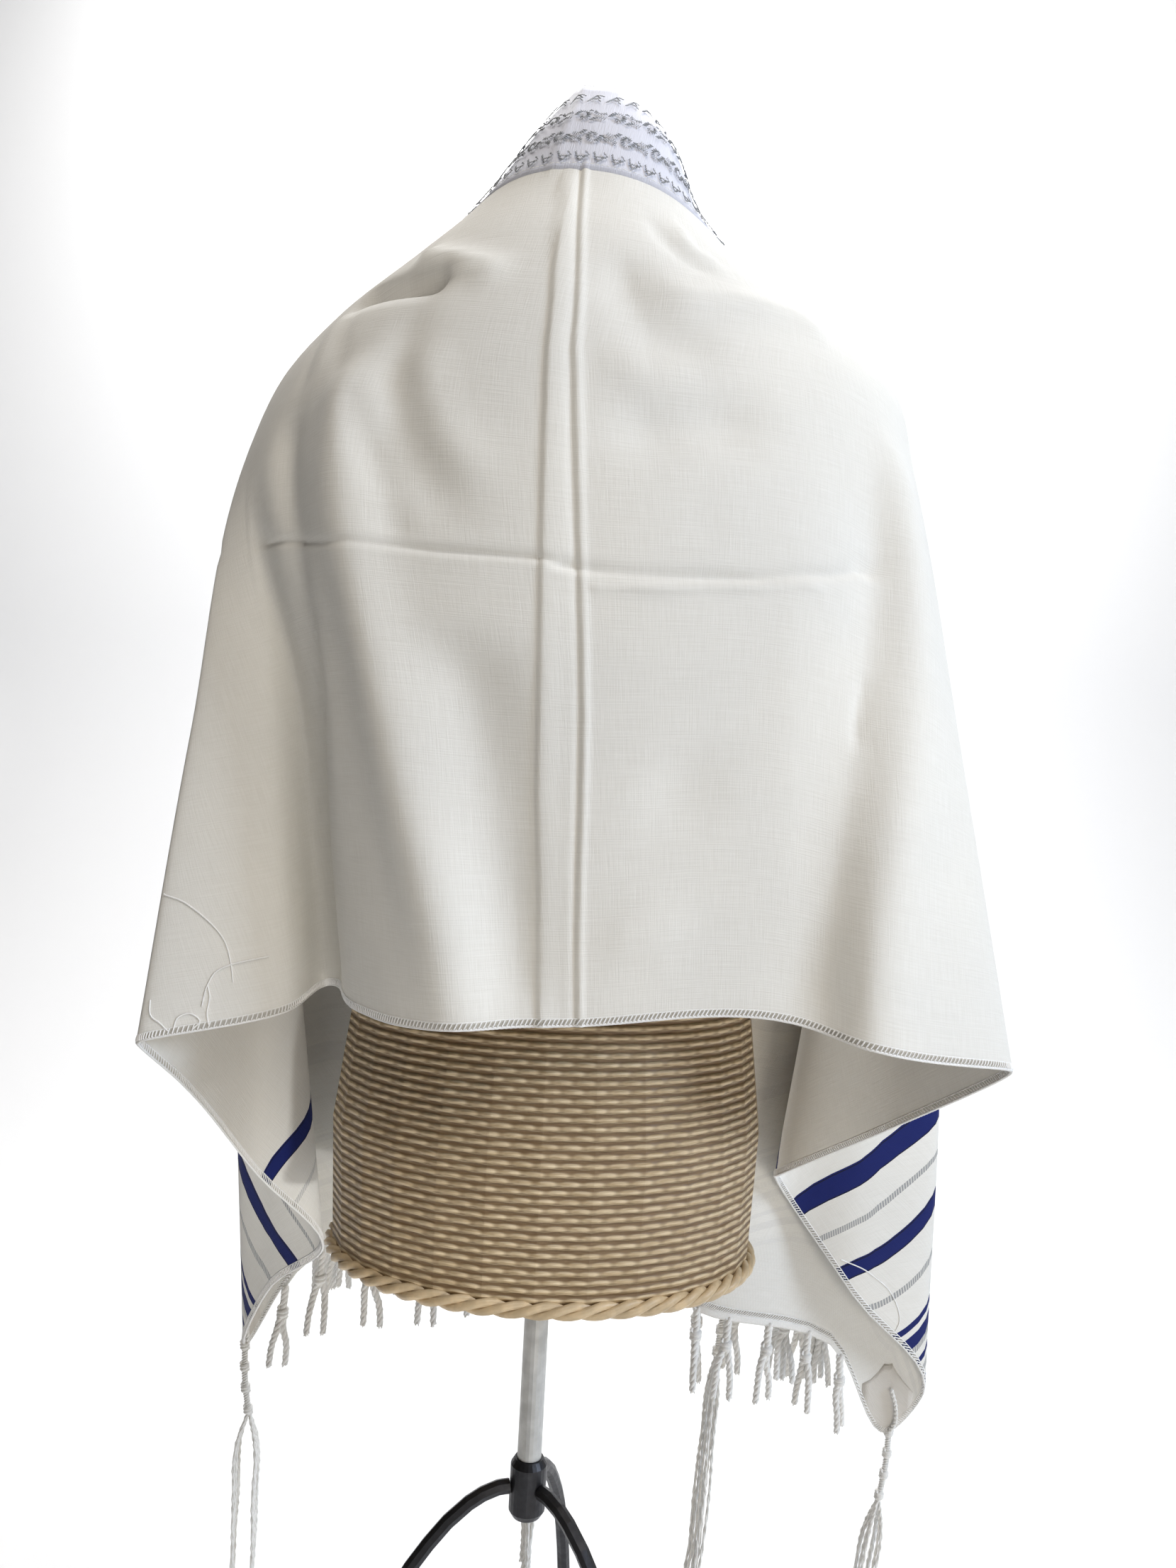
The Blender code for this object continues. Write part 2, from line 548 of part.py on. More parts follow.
def make_ends(places, cuts, finish, shelf, cutters):
    """The fringe and the two corner tassels of each short end."""
    along, down = cuts[:, -1, 0], cuts[:, -1, 1]
    fringed = (down >= FRINGE_INSET) & (down <= CUT_WIDTH - FRINGE_INSET)
    for seed, (name, side) in enumerate((("left_fringe", -1), ("right_fringe", 1)), 1):
        columns = np.flatnonzero(fringed & (along * side > END - ALMOST))
        make_fringe(name, places, cuts, columns, seed, finish, shelf, cutters)
    ends = np.flatnonzero(np.abs(along) > END - ALMOST)
    left, right = ends[along[ends] < 0], ends[along[ends] > 0]
    for row, column in zip(CORNERS, (left[0], left[-1], right[0], right[-1])):
        corner = places[column, -1] - (0.0, 0.0, CLOTH_WALL / 2)
        make_tzitzit(row, corner, finish, shelf, cutters)


# ---------------------------------------------------------------- the dress form
def make_torso(finish, shelf):
    """The torso: oval sections lofted from the open rim to the neck seat."""
    shape = bmesh.new()
    rings = []
    for section in TORSO:
        turns = [2 * pi * k / TORSO_SIDES for k in range(TORSO_SIDES)]
        rings.append([shape.verts.new((section.half_width * cos(turn),
                                       section.fore + section.half_depth * sin(turn),
                                       section.up)) for turn in turns])
    for low, high in zip(rings[:-1], rings[1:]):
        for k in range(TORSO_SIDES):
            after = (k + 1) % TORSO_SIDES
            shape.faces.new((low[k], low[after], high[after], high[k]))
    shape.faces.new(rings[0][::-1])
    shape.faces.new(rings[-1])
    return add_mesh("form_torso", shape, finish, shelf)


def make_turned(name, profile, sides, finish, shelf):
    """A turned piece: its profile, top to bottom, swept round the post's axis."""
    points = [(radius, 0.0, up) for radius, up in profile]
    mesh = bpy.data.meshes.new(name)
    mesh.from_pydata(points, [(k, k + 1) for k in range(len(points) - 1)], [])
    mesh.materials.append(finish)
    thing = bpy.data.objects.new(name, mesh)
    shelf.objects.link(thing)
    screw = thing.modifiers.new("turned", "SCREW")
    screw.axis = "Z"
    screw.steps = screw.render_steps = sides
    screw.use_merge_vertices = True
    screw.merge_threshold = 0.00005
    screw.use_smooth_shade = True
    return thing


def make_post(finish, shelf):
    """The post from the hub to the collar under the torso."""
    low = HUB_PROFILE[0][1] + SEAM_GAP
    high = COLLAR_PROFILE[-1][1] - SEAM_GAP
    profile = [(0.0, high), (POST_RADIUS, high), (POST_RADIUS, low), (0.0, low)]
    return make_turned("stand_post", profile, 20, finish, shelf)


def make_leg(name, turn, finish, shelf):
    """One arched leg: a round bar along a smooth curve."""
    way = Vector((cos(radians(turn)), sin(radians(turn)), 0.0))
    knots = np.array([way * out + UP * up for out, up in LEG_POINTS])
    ways, spans = tangents(knots)
    points = [curve_point(knots, ways, spans, index, step / LEG_STEPS)
              for index in range(len(knots) - 1) for step in range(LEG_STEPS)]
    points.append(knots[-1])
    curve = new_strands(name, 2)
    add_strand(curve, points, [LEG_RADIUS] * len(points))
    curve.materials.append(finish)
    thing = bpy.data.objects.new(name, curve)
    shelf.objects.link(thing)
    return thing


def make_foot(name, turn, finish, shelf):
    """The flat pad under a leg."""
    out = LEG_POINTS[-1][0]
    bpy.ops.mesh.primitive_cylinder_add(
        vertices=24, radius=FOOT_RADIUS, depth=FOOT_HEIGHT,
        location=(out * cos(radians(turn)), out * sin(radians(turn)), FOOT_HEIGHT / 2))
    thing = bpy.context.object
    thing.name = thing.data.name = name
    thing.data.materials.append(finish)
    for shelf_now in list(thing.users_collection):
        shelf_now.objects.unlink(thing)
    shelf.objects.link(thing)
    return thing


def make_form(finishes, shelf):
    """The dress form and the stand under it."""
    make_torso(finishes["wicker"], shelf)
    make_turned("form_neck", NECK_PROFILE, 28, finishes["wicker"], shelf)
    make_turned("form_knob", KNOB_PROFILE, 24, finishes["turned_wood"], shelf)
    make_turned("stand_collar", COLLAR_PROFILE, 24, finishes["dark_iron"], shelf)
    make_post(finishes["pale_post"], shelf)
    make_turned("stand_hub", HUB_PROFILE, 24, finishes["dark_iron"], shelf)
    for number, turn in enumerate(LEG_TURNS, 1):
        make_leg(f"stand_leg_{number}", turn, finishes["dark_iron"], shelf)
        make_foot(f"stand_foot_{number}", turn, finishes["dark_iron"], shelf)


def main():
    """Build the shawl and the dress form."""
    clear_scene()
    finishes = make_finishes()
    shelf = bpy.data.collections.new("tallit_prayer_shawl")
    cutters = bpy.data.collections.new("joined_strands")
    for collection in (shelf, cutters):
        bpy.context.scene.collection.children.link(collection)
    places, cuts, patched = sheet_grid()
    cloth = make_sheet("shawl_cloth", places, CLOTH_WALL, 0.0, finishes["ivory_cloth"], shelf)
    normals = sheet_normals(cloth, len(places))
    make_atara(places, normals, finishes["white_satin"], shelf)
    make_patches(places, normals, patched, finishes["white_satin"], shelf)
    make_ends(places, cuts, finishes["white_yarn"], shelf, cutters)
    make_form(finishes, shelf)
    for thing in [*shelf.objects, *cutters.objects]:
        thing.location.x += POST_FROM_MIDDLE[0]
        thing.location.y += POST_FROM_MIDDLE[1]


main()
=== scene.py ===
"""A tallit prayer shawl on a limbless dress form: the cloth, its trimmings, finishes and lights.

The frame holds the plain solids.  This script lays the finished cloth on the same hang lines, with
its stripes, creases, stitched edges, silver worked neck band, corner patches, fringe and tzitzit.

The shawl is one flat rectangle.  A place on it is given by "along", the distance from the centre
back towards the right hand end, and "down", the distance from the neck edge towards the hem.
Lengths are in metres, apart from the tables that are said to be in millimetres.
"""
from collections import namedtuple
from math import cos, pi, radians, sin

import bpy
import numpy as np
from mathutils import Matrix, Vector
from mathutils.bvhtree import BVHTree
from mathutils.geometry import barycentric_transform


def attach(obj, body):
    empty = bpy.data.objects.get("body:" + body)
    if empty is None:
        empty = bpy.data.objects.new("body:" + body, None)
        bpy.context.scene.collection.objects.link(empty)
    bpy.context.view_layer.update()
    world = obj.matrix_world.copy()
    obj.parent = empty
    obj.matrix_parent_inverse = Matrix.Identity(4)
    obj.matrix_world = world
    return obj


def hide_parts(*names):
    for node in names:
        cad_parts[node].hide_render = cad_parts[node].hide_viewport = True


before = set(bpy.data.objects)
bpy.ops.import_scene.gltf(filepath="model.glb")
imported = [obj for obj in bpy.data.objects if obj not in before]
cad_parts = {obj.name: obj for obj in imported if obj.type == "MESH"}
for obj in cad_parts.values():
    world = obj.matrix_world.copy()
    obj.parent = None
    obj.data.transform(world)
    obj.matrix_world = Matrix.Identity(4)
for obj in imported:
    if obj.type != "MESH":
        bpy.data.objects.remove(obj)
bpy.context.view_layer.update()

# ---- the cut
CUT_LENGTH = 1.83  # short end to short end
CUT_WIDTH = 0.61  # neck edge to hem
END = CUT_LENGTH / 2  # centre back to a short end
CLOTH_WALL = 0.0016
OUTSIDE = CLOTH_WALL / 2  # from the middle of the cloth to its outer face
SEAM_GAP = 0.0003  # between two pieces that are sewn together
ALMOST = 1e-6  # room for rounding
TINY = 1e-9  # keeps a division off zero
MM = 1000  # millimetres in a metre
UP = Vector((0.0, 0.0, 1.0))

ATARA_WIDTH = 0.086
ATARA_REACH = 0.29  # from the centre back to each end of the neck band
ATARA_WALL = 0.0012
PATCH_SIDE = 0.050
PATCH_WALL = 0.0010
POST_FROM_MIDDLE = (-0.029, -0.032, 0.0)  # where the post stands, from the middle of it all

# ---- the drape
# Rings round the shoulders, from the neck down: how far each reaches from the post to every side,
# and how high it is there.
Ring = namedtuple("Ring", "name left right behind before up_back up_left up_right up_front")
RINGS = [Ring(*row) for row in (
    ("neck edge", 0.0165, 0.0160, 0.0120, 0.0160, 1.4325, 1.4345, 1.4350, 1.4270),
    ("neck slope", 0.0415, 0.0460, 0.0360, 0.0380, 1.3990, 1.4000, 1.4040, 1.3860),
    ("collar", 0.0785, 0.0720, 0.0560, 0.0570, 1.3500, 1.3480, 1.3480, 1.3350),
    ("yoke", 0.1150, 0.1160, 0.0800, 0.0760, 1.3040, 1.3140, 1.3065, 1.2880),
    ("shoulder slope", 0.1650, 0.1765, 0.0950, 0.0910, 1.2620, 1.2700, 1.2670, 1.2480),
    ("shoulder", 0.1975, 0.2035, 0.1030, 0.1000, 1.2280, 1.2300, 1.2410, 1.2160),
    ("shoulder drop", 0.2165, 0.2160, 0.1090, 0.1080, 1.1800, 1.1840, 1.1980, 1.1800),
)]
SHOULDER = 5  # the ring that the cloth turns down at
FRONT_TURN = 150.0  # degrees from the centre back round to a front edge
CENTRE_SHIFT = 6.0  # degrees by which the cut is turned on the shoulders at the centre back

# One row for each fold, from the left front edge round the back to the right front edge: degrees
# from the centre back, where its lower end is on the cut and where that hangs, how far the line bows
# out, and how full the curve of the lower edge is there at least, or below 0 how much sharper.
HangLine = namedtuple("HangLine", "name turn along down out fore up bow soft", defaults=(0, 0))
HANG_LINES = [HangLine(*row) for row in (
    ("left front edge", -150, -END, 0, -0.004, 0.172, 0.618),
    ("left outer pleat", -132, -END, 0.185, -0.182, 0.182, 0.626, 0, 0.6),
    ("left inner pleat", -119, -END, 0.37, -0.062, 0.138, 0.634, 0, 0.6),
    ("left front slope", -111, -END, 0.505, -0.182, 0.158, 0.6),
    ("left corner", -104, -END, CUT_WIDTH, -0.242, 0.19, 0.506, 0.016, 0.5),
    ("left front face", -97, -0.81, CUT_WIDTH, -0.2113, 0.143, 0.576),
    ("left side pleat", -90, -0.703, CUT_WIDTH, -0.164, 0.1, 0.625, 0, 0.5),
    ("left side", -84, -0.59, CUT_WIDTH, -0.199, 0.04, 0.697),
    ("left wing inside", -78, -0.43, CUT_WIDTH, -0.2275, -0.05, 0.784, 0.001, 0),
    ("left wing", -76, -0.375, CUT_WIDTH, -0.2435, -0.08, 0.813, 0.003, -0.7),
    ("left wing root", -70, -0.285, CUT_WIDTH, -0.161, -0.056, 0.832),
    ("left trough", -64, -0.232, CUT_WIDTH, -0.15, -0.012, 0.84, -0.004, 0.6),
    ("left back edge", -50, -0.14, CUT_WIDTH, -0.113, -0.084, 0.84),
    ("left back", -33, -0.093, CUT_WIDTH, -0.086, -0.112, 0.839),
    ("centre back", 0, 0, CUT_WIDTH, 0.007, -0.118, 0.844),
    ("right back", 34, 0.132, CUT_WIDTH, 0.138, -0.111, 0.851),
    ("right wing root", 54, 0.182, CUT_WIDTH, 0.1835, -0.12, 0.8395),
    ("right wing", 76, 0.29, CUT_WIDTH, 0.2752, -0.08, 0.8236, 0.001, -0.6),
    ("right side", 83, 0.43, CUT_WIDTH, 0.23, 0.02, 0.757),
    ("right side inside", 88, 0.59, CUT_WIDTH, 0.167, 0.066, 0.708, 0, 0.3),
    ("right side pleat", 92, 0.647, CUT_WIDTH, 0.1718, 0.104, 0.693, 0, 0.5),
    ("right front face", 98, 0.775, CUT_WIDTH, 0.243, 0.138, 0.594, 0.006, 0),
    ("right front fold", 104, 0.86, CUT_WIDTH, 0.3131, 0.184, 0.494, 0.026, 0.6),
    ("right corner", 107, END, CUT_WIDTH, 0.292, 0.196, 0.459, 0.018, 0.4),
    ("right front slope", 112, END, 0.525, 0.234, 0.172, 0.545, 0.006, 0),
    ("right inner pleat", 120, END, 0.365, 0.118, 0.138, 0.586, 0, 0.6),
    ("right outer pleat", 133, END, 0.185, 0.234, 0.212, 0.556, 0, 0.6),
    ("right front edge", 150, END, 0, 0.148, 0.18, 0.578),
)]
BACK_SPANS = range(9, 18)  # the spans of the table that the back panel and its wings take
STEPS_BACK = 13  # columns across each of those
STEPS_FRONT = 8  # columns across each other span
EASED_LINE = 21  # the cut runs on evenly through this hang line
# Columns stand closer across the centre folds: span, where they start and stop, and how many.
CLOSE_COLUMNS = {13: (0.74, 1.00, 26), 14: (0.00, 0.32, 42)}
FOLD_CLOSENESS = 1.5  # how much closer columns stand at the other folds
CROSS_FOLD = 0.349  # the cross fold on the flat cut, down from the neck edge
CROSS_HALF = 0.016  # half the width of the close rows
CROSS_LATEST = 0.60  # the share of a hang line that the cross fold comes at, at most
ROWS_BAND = 12  # rows under the neck band
ROWS_PATCH = 9  # rows beside the corner patches
# Rows between the neck band and the patches: above the cross fold, close across it and below it.
ROWS_ABOVE, ROWS_CROSS, ROWS_BELOW = 32, 24, 38
HEM_SHARE = 0.93  # where the last rows start on a hang line that meets no patch
PATCH_LEAST = 0.012  # the least of a patch that a hang line has to cross
RAY_POINTS = 256  # steps along a hang line


# ---- sums on a finish
def operators(operation):
    """An operator and its reflected form, which add a Math node."""
    return (lambda self, other: self.look.sum(operation, self, other),
            lambda self, other: self.look.sum(operation, other, self))


class Value:
    """A socket of a finish's nodes, so that sums can be written out plainly."""

    def __init__(self, look, socket):
        self.look, self.socket = look, socket

    __add__, __radd__ = operators("ADD")
    __sub__, __rsub__ = operators("SUBTRACT")
    __mul__, __rmul__ = operators("MULTIPLY")
    __truediv__, __rtruediv__ = operators("DIVIDE")

    def __abs__(self):
        return self.look.sum("ABSOLUTE", self)

    def above(self, other):
        """1 where this is more than another value, and 0 elsewhere."""
        return self.look.sum("GREATER_THAN", self, other)

    def wave(self, pitch):
        """A sine from 0 to 1 that repeats at a pitch."""
        return self.look.sum("SINE", self * (2 * pi / pitch)) * 0.5 + 0.5

    def smooth(self, low, high):
        """0 below one value, 1 above the other, and a smooth rise between."""
        return self.look.node("ShaderNodeMapRange", {"interpolation_type": "SMOOTHSTEP"},
                              {0: self, 1: low, 2: high, 3: 0.0, 4: 1.0})

    def mix(self, first, second):
        """The first colour where this is 0 and the second where it is 1."""
        return self.look.node("ShaderNodeMix", {"data_type": "RGBA"},
                              {0: self, 6: opaque(first), 7: opaque(second)}, 2)


def opaque(colour):
    """A colour as a socket takes it, with its opacity."""
    return colour if isinstance(colour, Value) else (*colour, 1.0)


def dimmed(colour, share):
    """A colour with a share of its light."""
    return [part * share for part in colour]


def set_bands(ramp, stops):
    """Give a colour ramp its stops, with a plain band after each."""
    ramp.interpolation = "CONSTANT"
    while len(ramp.elements) < len(stops):
        ramp.elements.new(1.0)
    for element, (place, colour) in zip(ramp.elements, stops):
        element.position = place
        element.color = opaque(colour)


class Finish:
    """A Principled material and the nodes behind it."""

    def __init__(self, name, **sockets):
        """A new material, and the values that are the same all over it."""
        self.material = bpy.data.materials.new(name)
        self.material.use_nodes = True
        self.tree = self.material.node_tree
        self.shader = self.tree.nodes["Principled BSDF"]
        for socket, value in sockets.items():
            self.shader.inputs[socket.replace("_", " ")].default_value = value

    def node(self, kind, settings, values, output=0):
        """A new node of a kind: its settings first, then the values or links of its sockets."""
        node = self.tree.nodes.new(kind)
        for name, setting in settings.items():
            if name == "stops":
                set_bands(node.color_ramp, setting)
            else:
                setattr(node, name, setting)
        for key, value in values.items():
            if isinstance(value, Value):
                self.tree.links.new(value.socket, node.inputs[key])
            else:
                node.inputs[key].default_value = value
        return Value(self, node.outputs[output])

    def sum(self, operation, *terms):
        """A Math node on values and numbers."""
        return self.node("ShaderNodeMath", {"operation": operation}, dict(enumerate(terms)))

    def multiplied(self, first, *others):
        """A colour multiplied by others."""
        for other in others:
            first = self.node("ShaderNodeMix", {"data_type": "RGBA", "blend_type": "MULTIPLY"},
                              {0: 1.0, 6: first, 7: other}, 2)
        return first

    def on_cut(self):
        """The place on the flat cut, over the length of the cut."""
        return self.node("ShaderNodeUVMap", {"uv_map": "cut"}, {})

    def in_space(self):
        """The place in the piece's own space."""
        return self.node("ShaderNodeTexCoord", {}, {}, 3)

    def parts(self, place):
        """The parts of a place along each axis."""
        first = self.node("ShaderNodeSeparateXYZ", {}, {0: place})
        return [Value(self, part) for part in first.socket.node.outputs]

    def noise(self, place, scale, detail):
        """Cloudy noise."""
        return self.node("ShaderNodeTexNoise", {}, {"Vector": place, "Scale": scale, "Detail": detail})

    def grain(self, place, scales, detail):
        """Noise of a different fineness along each axis."""
        stretched = self.node("ShaderNodeMapping", {}, {"Vector": place, "Scale": scales})
        return self.noise(stretched, 1.0, detail)

    def cover(self, height, depth, **changing):
        """Link what changes over the surface to the shader, with a height in relief."""
        for socket, value in changing.items():
            self.tree.links.new(value.socket, self.shader.inputs[socket.replace("_", " ")])
        bump = self.node("ShaderNodeBump", {}, {"Strength": 1.0, "Distance": depth, "Height": height})
        self.tree.links.new(bump.socket, self.shader.inputs["Normal"])
        return self.material


# ---- curves through rows
def step_lengths(points):
    """How far it is from each point to the next."""
    return np.linalg.norm(np.diff(points, axis=0), axis=1)


def tangents(points, softness=None):
    """Direction of travel at each point, for a curve that passes through all of them."""
    spans = step_lengths(points)
    ways = np.diff(points, axis=0) / spans[:, None]
    middle = ways[:-1] * spans[1:, None] + ways[1:] * spans[:-1, None]
    middle /= (spans[:-1] + spans[1:])[:, None]
    found = np.vstack([ways[:1], middle, ways[-1:]])
    if softness is not None:
        sizes = np.linalg.norm(found, axis=1)
        round_ones = np.maximum(sizes, softness) / np.maximum(sizes, TINY)
        wanted = np.where(softness < 0, 1 + softness, round_ones)
        found = found * wanted[:, None]
    return found, spans


def curve_point(points, ways, spans, index, share):
    """The place at a share of the way from one point of the curve to the next."""
    a, b = points[index], points[index + 1]
    va, vb = ways[index] * spans[index], ways[index + 1] * spans[index]
    s2, s3 = share * share, share ** 3
    return ((2 * s3 - 3 * s2 + 1) * a + (s3 - 2 * s2 + share) * va
            + (3 * s2 - 2 * s3) * b + (s3 - s2) * vb)


def even_slopes(values, spans):
    """Slopes for a curve that never turns back between its values."""
    steps = np.diff(values) / spans
    inner = 2 * steps[:-1] * steps[1:] / (steps[:-1] + steps[1:])
    return np.concatenate([steps[:1], inner, steps[-1:]])


def smooth_path(points, steps):
    """A smooth path through points, with so many steps from one to the next."""
    knots = np.array(points, float)
    ways, spans = tangents(knots)
    found = [curve_point(knots, ways, spans, index, step / steps)
             for index in range(len(knots) - 1) for step in range(steps)]
    return [Vector(place) for place in [*found, knots[-1]]]


def path_on_cut(spots, steps):
    """A smooth path through spots on the flat cut that are in millimetres."""
    return smooth_path([Vector((along / MM, down / MM, 0.0)) for along, down in spots], steps)


# ---- hanging the cloth
def ring_point(ring, turn):
    """The point of a shoulder ring that is so many degrees round from the middle of the back."""
    angle = radians(turn)
    width = ring.right if turn > 0 else ring.left
    depth, up_middle = (ring.behind, ring.up_back) if abs(turn) < 90 else (ring.before, ring.up_front)
    up_side = ring.up_right if turn > 0 else ring.up_left
    up = up_side + (up_middle - up_side) * cos(angle) ** 2
    return np.array([width * sin(angle), -depth * cos(angle), up])


def line_on_cut(turn, length, reach, cut_end):
    """Where a hang line's points are on the flat cut: straight to the shoulder, then to its end."""
    quarter = 90.0 * turn / FRONT_TURN
    fan = radians(quarter + CENTRE_SHIFT * cos(radians(quarter)))
    start = np.array([RINGS[0].left * radians(turn), 0.0])
    shoulder = start + reach * np.array([sin(fan), cos(fan)])
    share = np.minimum(length / reach, 1.0)[:, None]
    rest = np.clip((length - reach) / (length[-1] - reach), 0.0, 1.0)[:, None]
    return start + (shoulder - start) * share + (np.asarray(cut_end) - shoulder) * rest


def hang_line(turn, end, bow, cut_end):
    """One hang line: its points on the hung shawl and on the flat cut, and its shares of length."""
    rings = [ring_point(ring, turn) for ring in RINGS]
    away = np.array([sin(radians(turn)), -cos(radians(turn)), 0.0])
    knots = np.array(rings + [(rings[-1] + end) / 2 + away * bow, end])
    ways, spans = tangents(knots)
    per_span = RAY_POINTS // (len(knots) - 1)
    points = [curve_point(knots, ways, spans, index, step / per_span)
              for index in range(len(knots) - 1) for step in range(per_span)]
    points = np.array([*points, end])
    length = np.concatenate([[0.0], np.cumsum(step_lengths(points))])
    cut = line_on_cut(turn, length, length[SHOULDER * per_span], cut_end)
    return points, cut, length / length[-1]


def closer_to_folds(share, fold_at_start, fold_at_end):
    """A share of the way between two hang lines, moved towards the folds at its ends."""
    if fold_at_start and fold_at_end:
        near = 0.5 * (2 * min(share, 1 - share)) ** FOLD_CLOSENESS
        return near if share < 0.5 else 1 - near
    if fold_at_start:
        return share ** FOLD_CLOSENESS
    if fold_at_end:
        return 1 - (1 - share) ** FOLD_CLOSENESS
    return share


def columns_across(index, row, after):
    """The shares of the way from one row of the table to the next at which columns stand."""
    steps = STEPS_BACK if index in BACK_SPANS else STEPS_FRONT
    final = index == len(HANG_LINES) - 2
    stops = [closer_to_folds(step / steps, row.soft > 0, after.soft > 0)
             for step in range(steps + final)]
    if index in CLOSE_COLUMNS:
        first, last, close = CLOSE_COLUMNS[index]
        wide = round(steps * (1 - last + first))
        before = np.linspace(0.0, first, wide)[:-1] if first else []
        beyond = np.linspace(last, 1.0, wide, endpoint=False) if last < 1 else []
        stops = [*before, *np.linspace(first, last, close, endpoint=False), *beyond]
    if min(row.down, after.down) < ALMOST < max(row.down, after.down):
        edge = abs(PATCH_SIDE - row.down) / abs(after.down - row.down)
        nearest = min(range(1, steps), key=lambda step: abs(stops[step] - edge))
        stops[nearest] = edge
    return stops


def hang_line_fan():
    """Every hang line of the shawl."""
    ends = np.array([(row.out, row.fore, row.up) for row in HANG_LINES])
    ways, spans = tangents(ends, np.array([row.soft for row in HANG_LINES]))
    turns = np.array([row.turn for row in HANG_LINES], float)
    even = np.ones(len(turns) - 1)
    slopes = even_slopes(turns, even)
    rates = np.diff([row.along for row in HANG_LINES]) / spans
    shared = (rates[EASED_LINE - 1] + rates[EASED_LINE]) / 2
    lines = []
    for index, (row, after) in enumerate(zip(HANG_LINES[:-1], HANG_LINES[1:])):
        eased = (shared - rates[index]) * spans[index]
        for share in columns_across(index, row, after):
            bow = row.bow + (after.bow - row.bow) * share * share * (3 - 2 * share)
            along = row.along + (after.along - row.along) * share
            if index == EASED_LINE - 1:
                along += share * share * (share - 1) * eased
            if index == EASED_LINE:
                along += share * (share - 1) ** 2 * eased
            down = row.down + (after.down - row.down) * share
            lines.append(hang_line(curve_point(turns, slopes, even, index, share),
                                   curve_point(ends, ways, spans, index, share), bow, (along, down)))
    return lines


def first_share(cut, shares, inside):
    """Where a hang line leaves a region of the flat cut, in shares of the line's length."""
    left = inside(cut)
    if (left > 0).all():
        return 1.0
    index = int(np.argmax(left <= 0))
    if index == 0:
        return 0.0
    part = left[index - 1] / (left[index - 1] - left[index])
    return float(shares[index - 1] + (shares[index] - shares[index - 1]) * part)


def in_band(cut):
    """How far inside the neck band places on the flat cut lie."""
    return np.minimum(ATARA_WIDTH - cut[:, 1], ATARA_REACH - np.abs(cut[:, 0]))


def in_patch(cut):
    """How far inside a corner patch places on the flat cut lie."""
    from_edge = np.minimum(cut[:, 1], CUT_WIDTH - cut[:, 1])
    return np.minimum(np.abs(cut[:, 0]) - (END - PATCH_SIDE), PATCH_SIDE - from_edge)


def sheet_grid():
    """Columns and rows of the hung cloth: places, places on the flat cut, and the patch columns."""
    places, cuts, patched = [], [], []
    for points, cut, shares in hang_line_fan():
        band = first_share(cut, shares, in_band)
        hem = first_share(cut, shares, lambda some: -in_patch(some) - ALMOST)
        length = step_lengths(points).sum()
        patched.append((1 - hem) * length > PATCH_LEAST)
        if not patched[-1]:
            hem = HEM_SHARE
        cross = min(first_share(cut, shares, lambda some: CROSS_FOLD - some[:, 1]), CROSS_LATEST)
        half = CROSS_HALF / length
        stops = (0.0, band, cross - half, cross + half, hem, 1.0)
        counts = (ROWS_BAND, ROWS_ABOVE, ROWS_CROSS, ROWS_BELOW, ROWS_PATCH)
        knots = np.concatenate([[0.0], *[np.linspace(start, stop, count + 1)[1:]
                                         for start, stop, count in zip(stops, stops[1:], counts)]])
        places.append(np.column_stack([np.interp(knots, shares, points[:, k]) for k in range(3)]))
        cuts.append(np.column_stack([np.interp(knots, shares, cut[:, k]) for k in range(2)]))
    return np.array(places) + POST_FROM_MIDDLE, np.array(cuts), patched


# ---- sheets
def grid_normals(places):
    """Outward direction at each place of a grid."""
    normals = np.cross(np.gradient(places, axis=1), np.gradient(places, axis=0))
    return normals / np.maximum(np.linalg.norm(normals, axis=2, keepdims=True), TINY)


def cells(columns, rows):
    """The four corners of every cell of a grid."""
    corner = (np.arange(columns - 1)[:, None] * rows + np.arange(rows - 1)[None, :]).ravel()
    return np.stack([corner, corner + 1, corner + rows + 1, corner + rows], axis=1)


def add_thing(name, data):
    """An object that holds a mesh, a curve, a light or a camera."""
    thing = bpy.data.objects.new(name, data)
    bpy.context.scene.collection.objects.link(thing)
    return thing


def add_sheet(name, places, cuts, wall, offset, *finishes):
    """A wall of cloth through a grid of places, which keeps its place on the flat cut."""
    faces = cells(*places.shape[:2])
    mesh = bpy.data.meshes.new(name)
    mesh.from_pydata(places.reshape(-1, 3).tolist(), [], faces.tolist())
    flat = mesh.uv_layers.new(name="cut")
    spots = cuts.reshape(-1, 2)[faces.ravel()] / CUT_LENGTH + (0.5, 0.0)
    flat.data.foreach_set("uv", spots.astype(np.float32).ravel())
    mesh.shade_smooth()
    for finish in finishes:
        mesh.materials.append(finish)
    sheet = add_thing(name, mesh)
    solid = sheet.modifiers.new("wall", "SOLIDIFY")
    solid.thickness = wall
    solid.offset = offset
    solid.material_offset = len(finishes) - 1
    return sheet


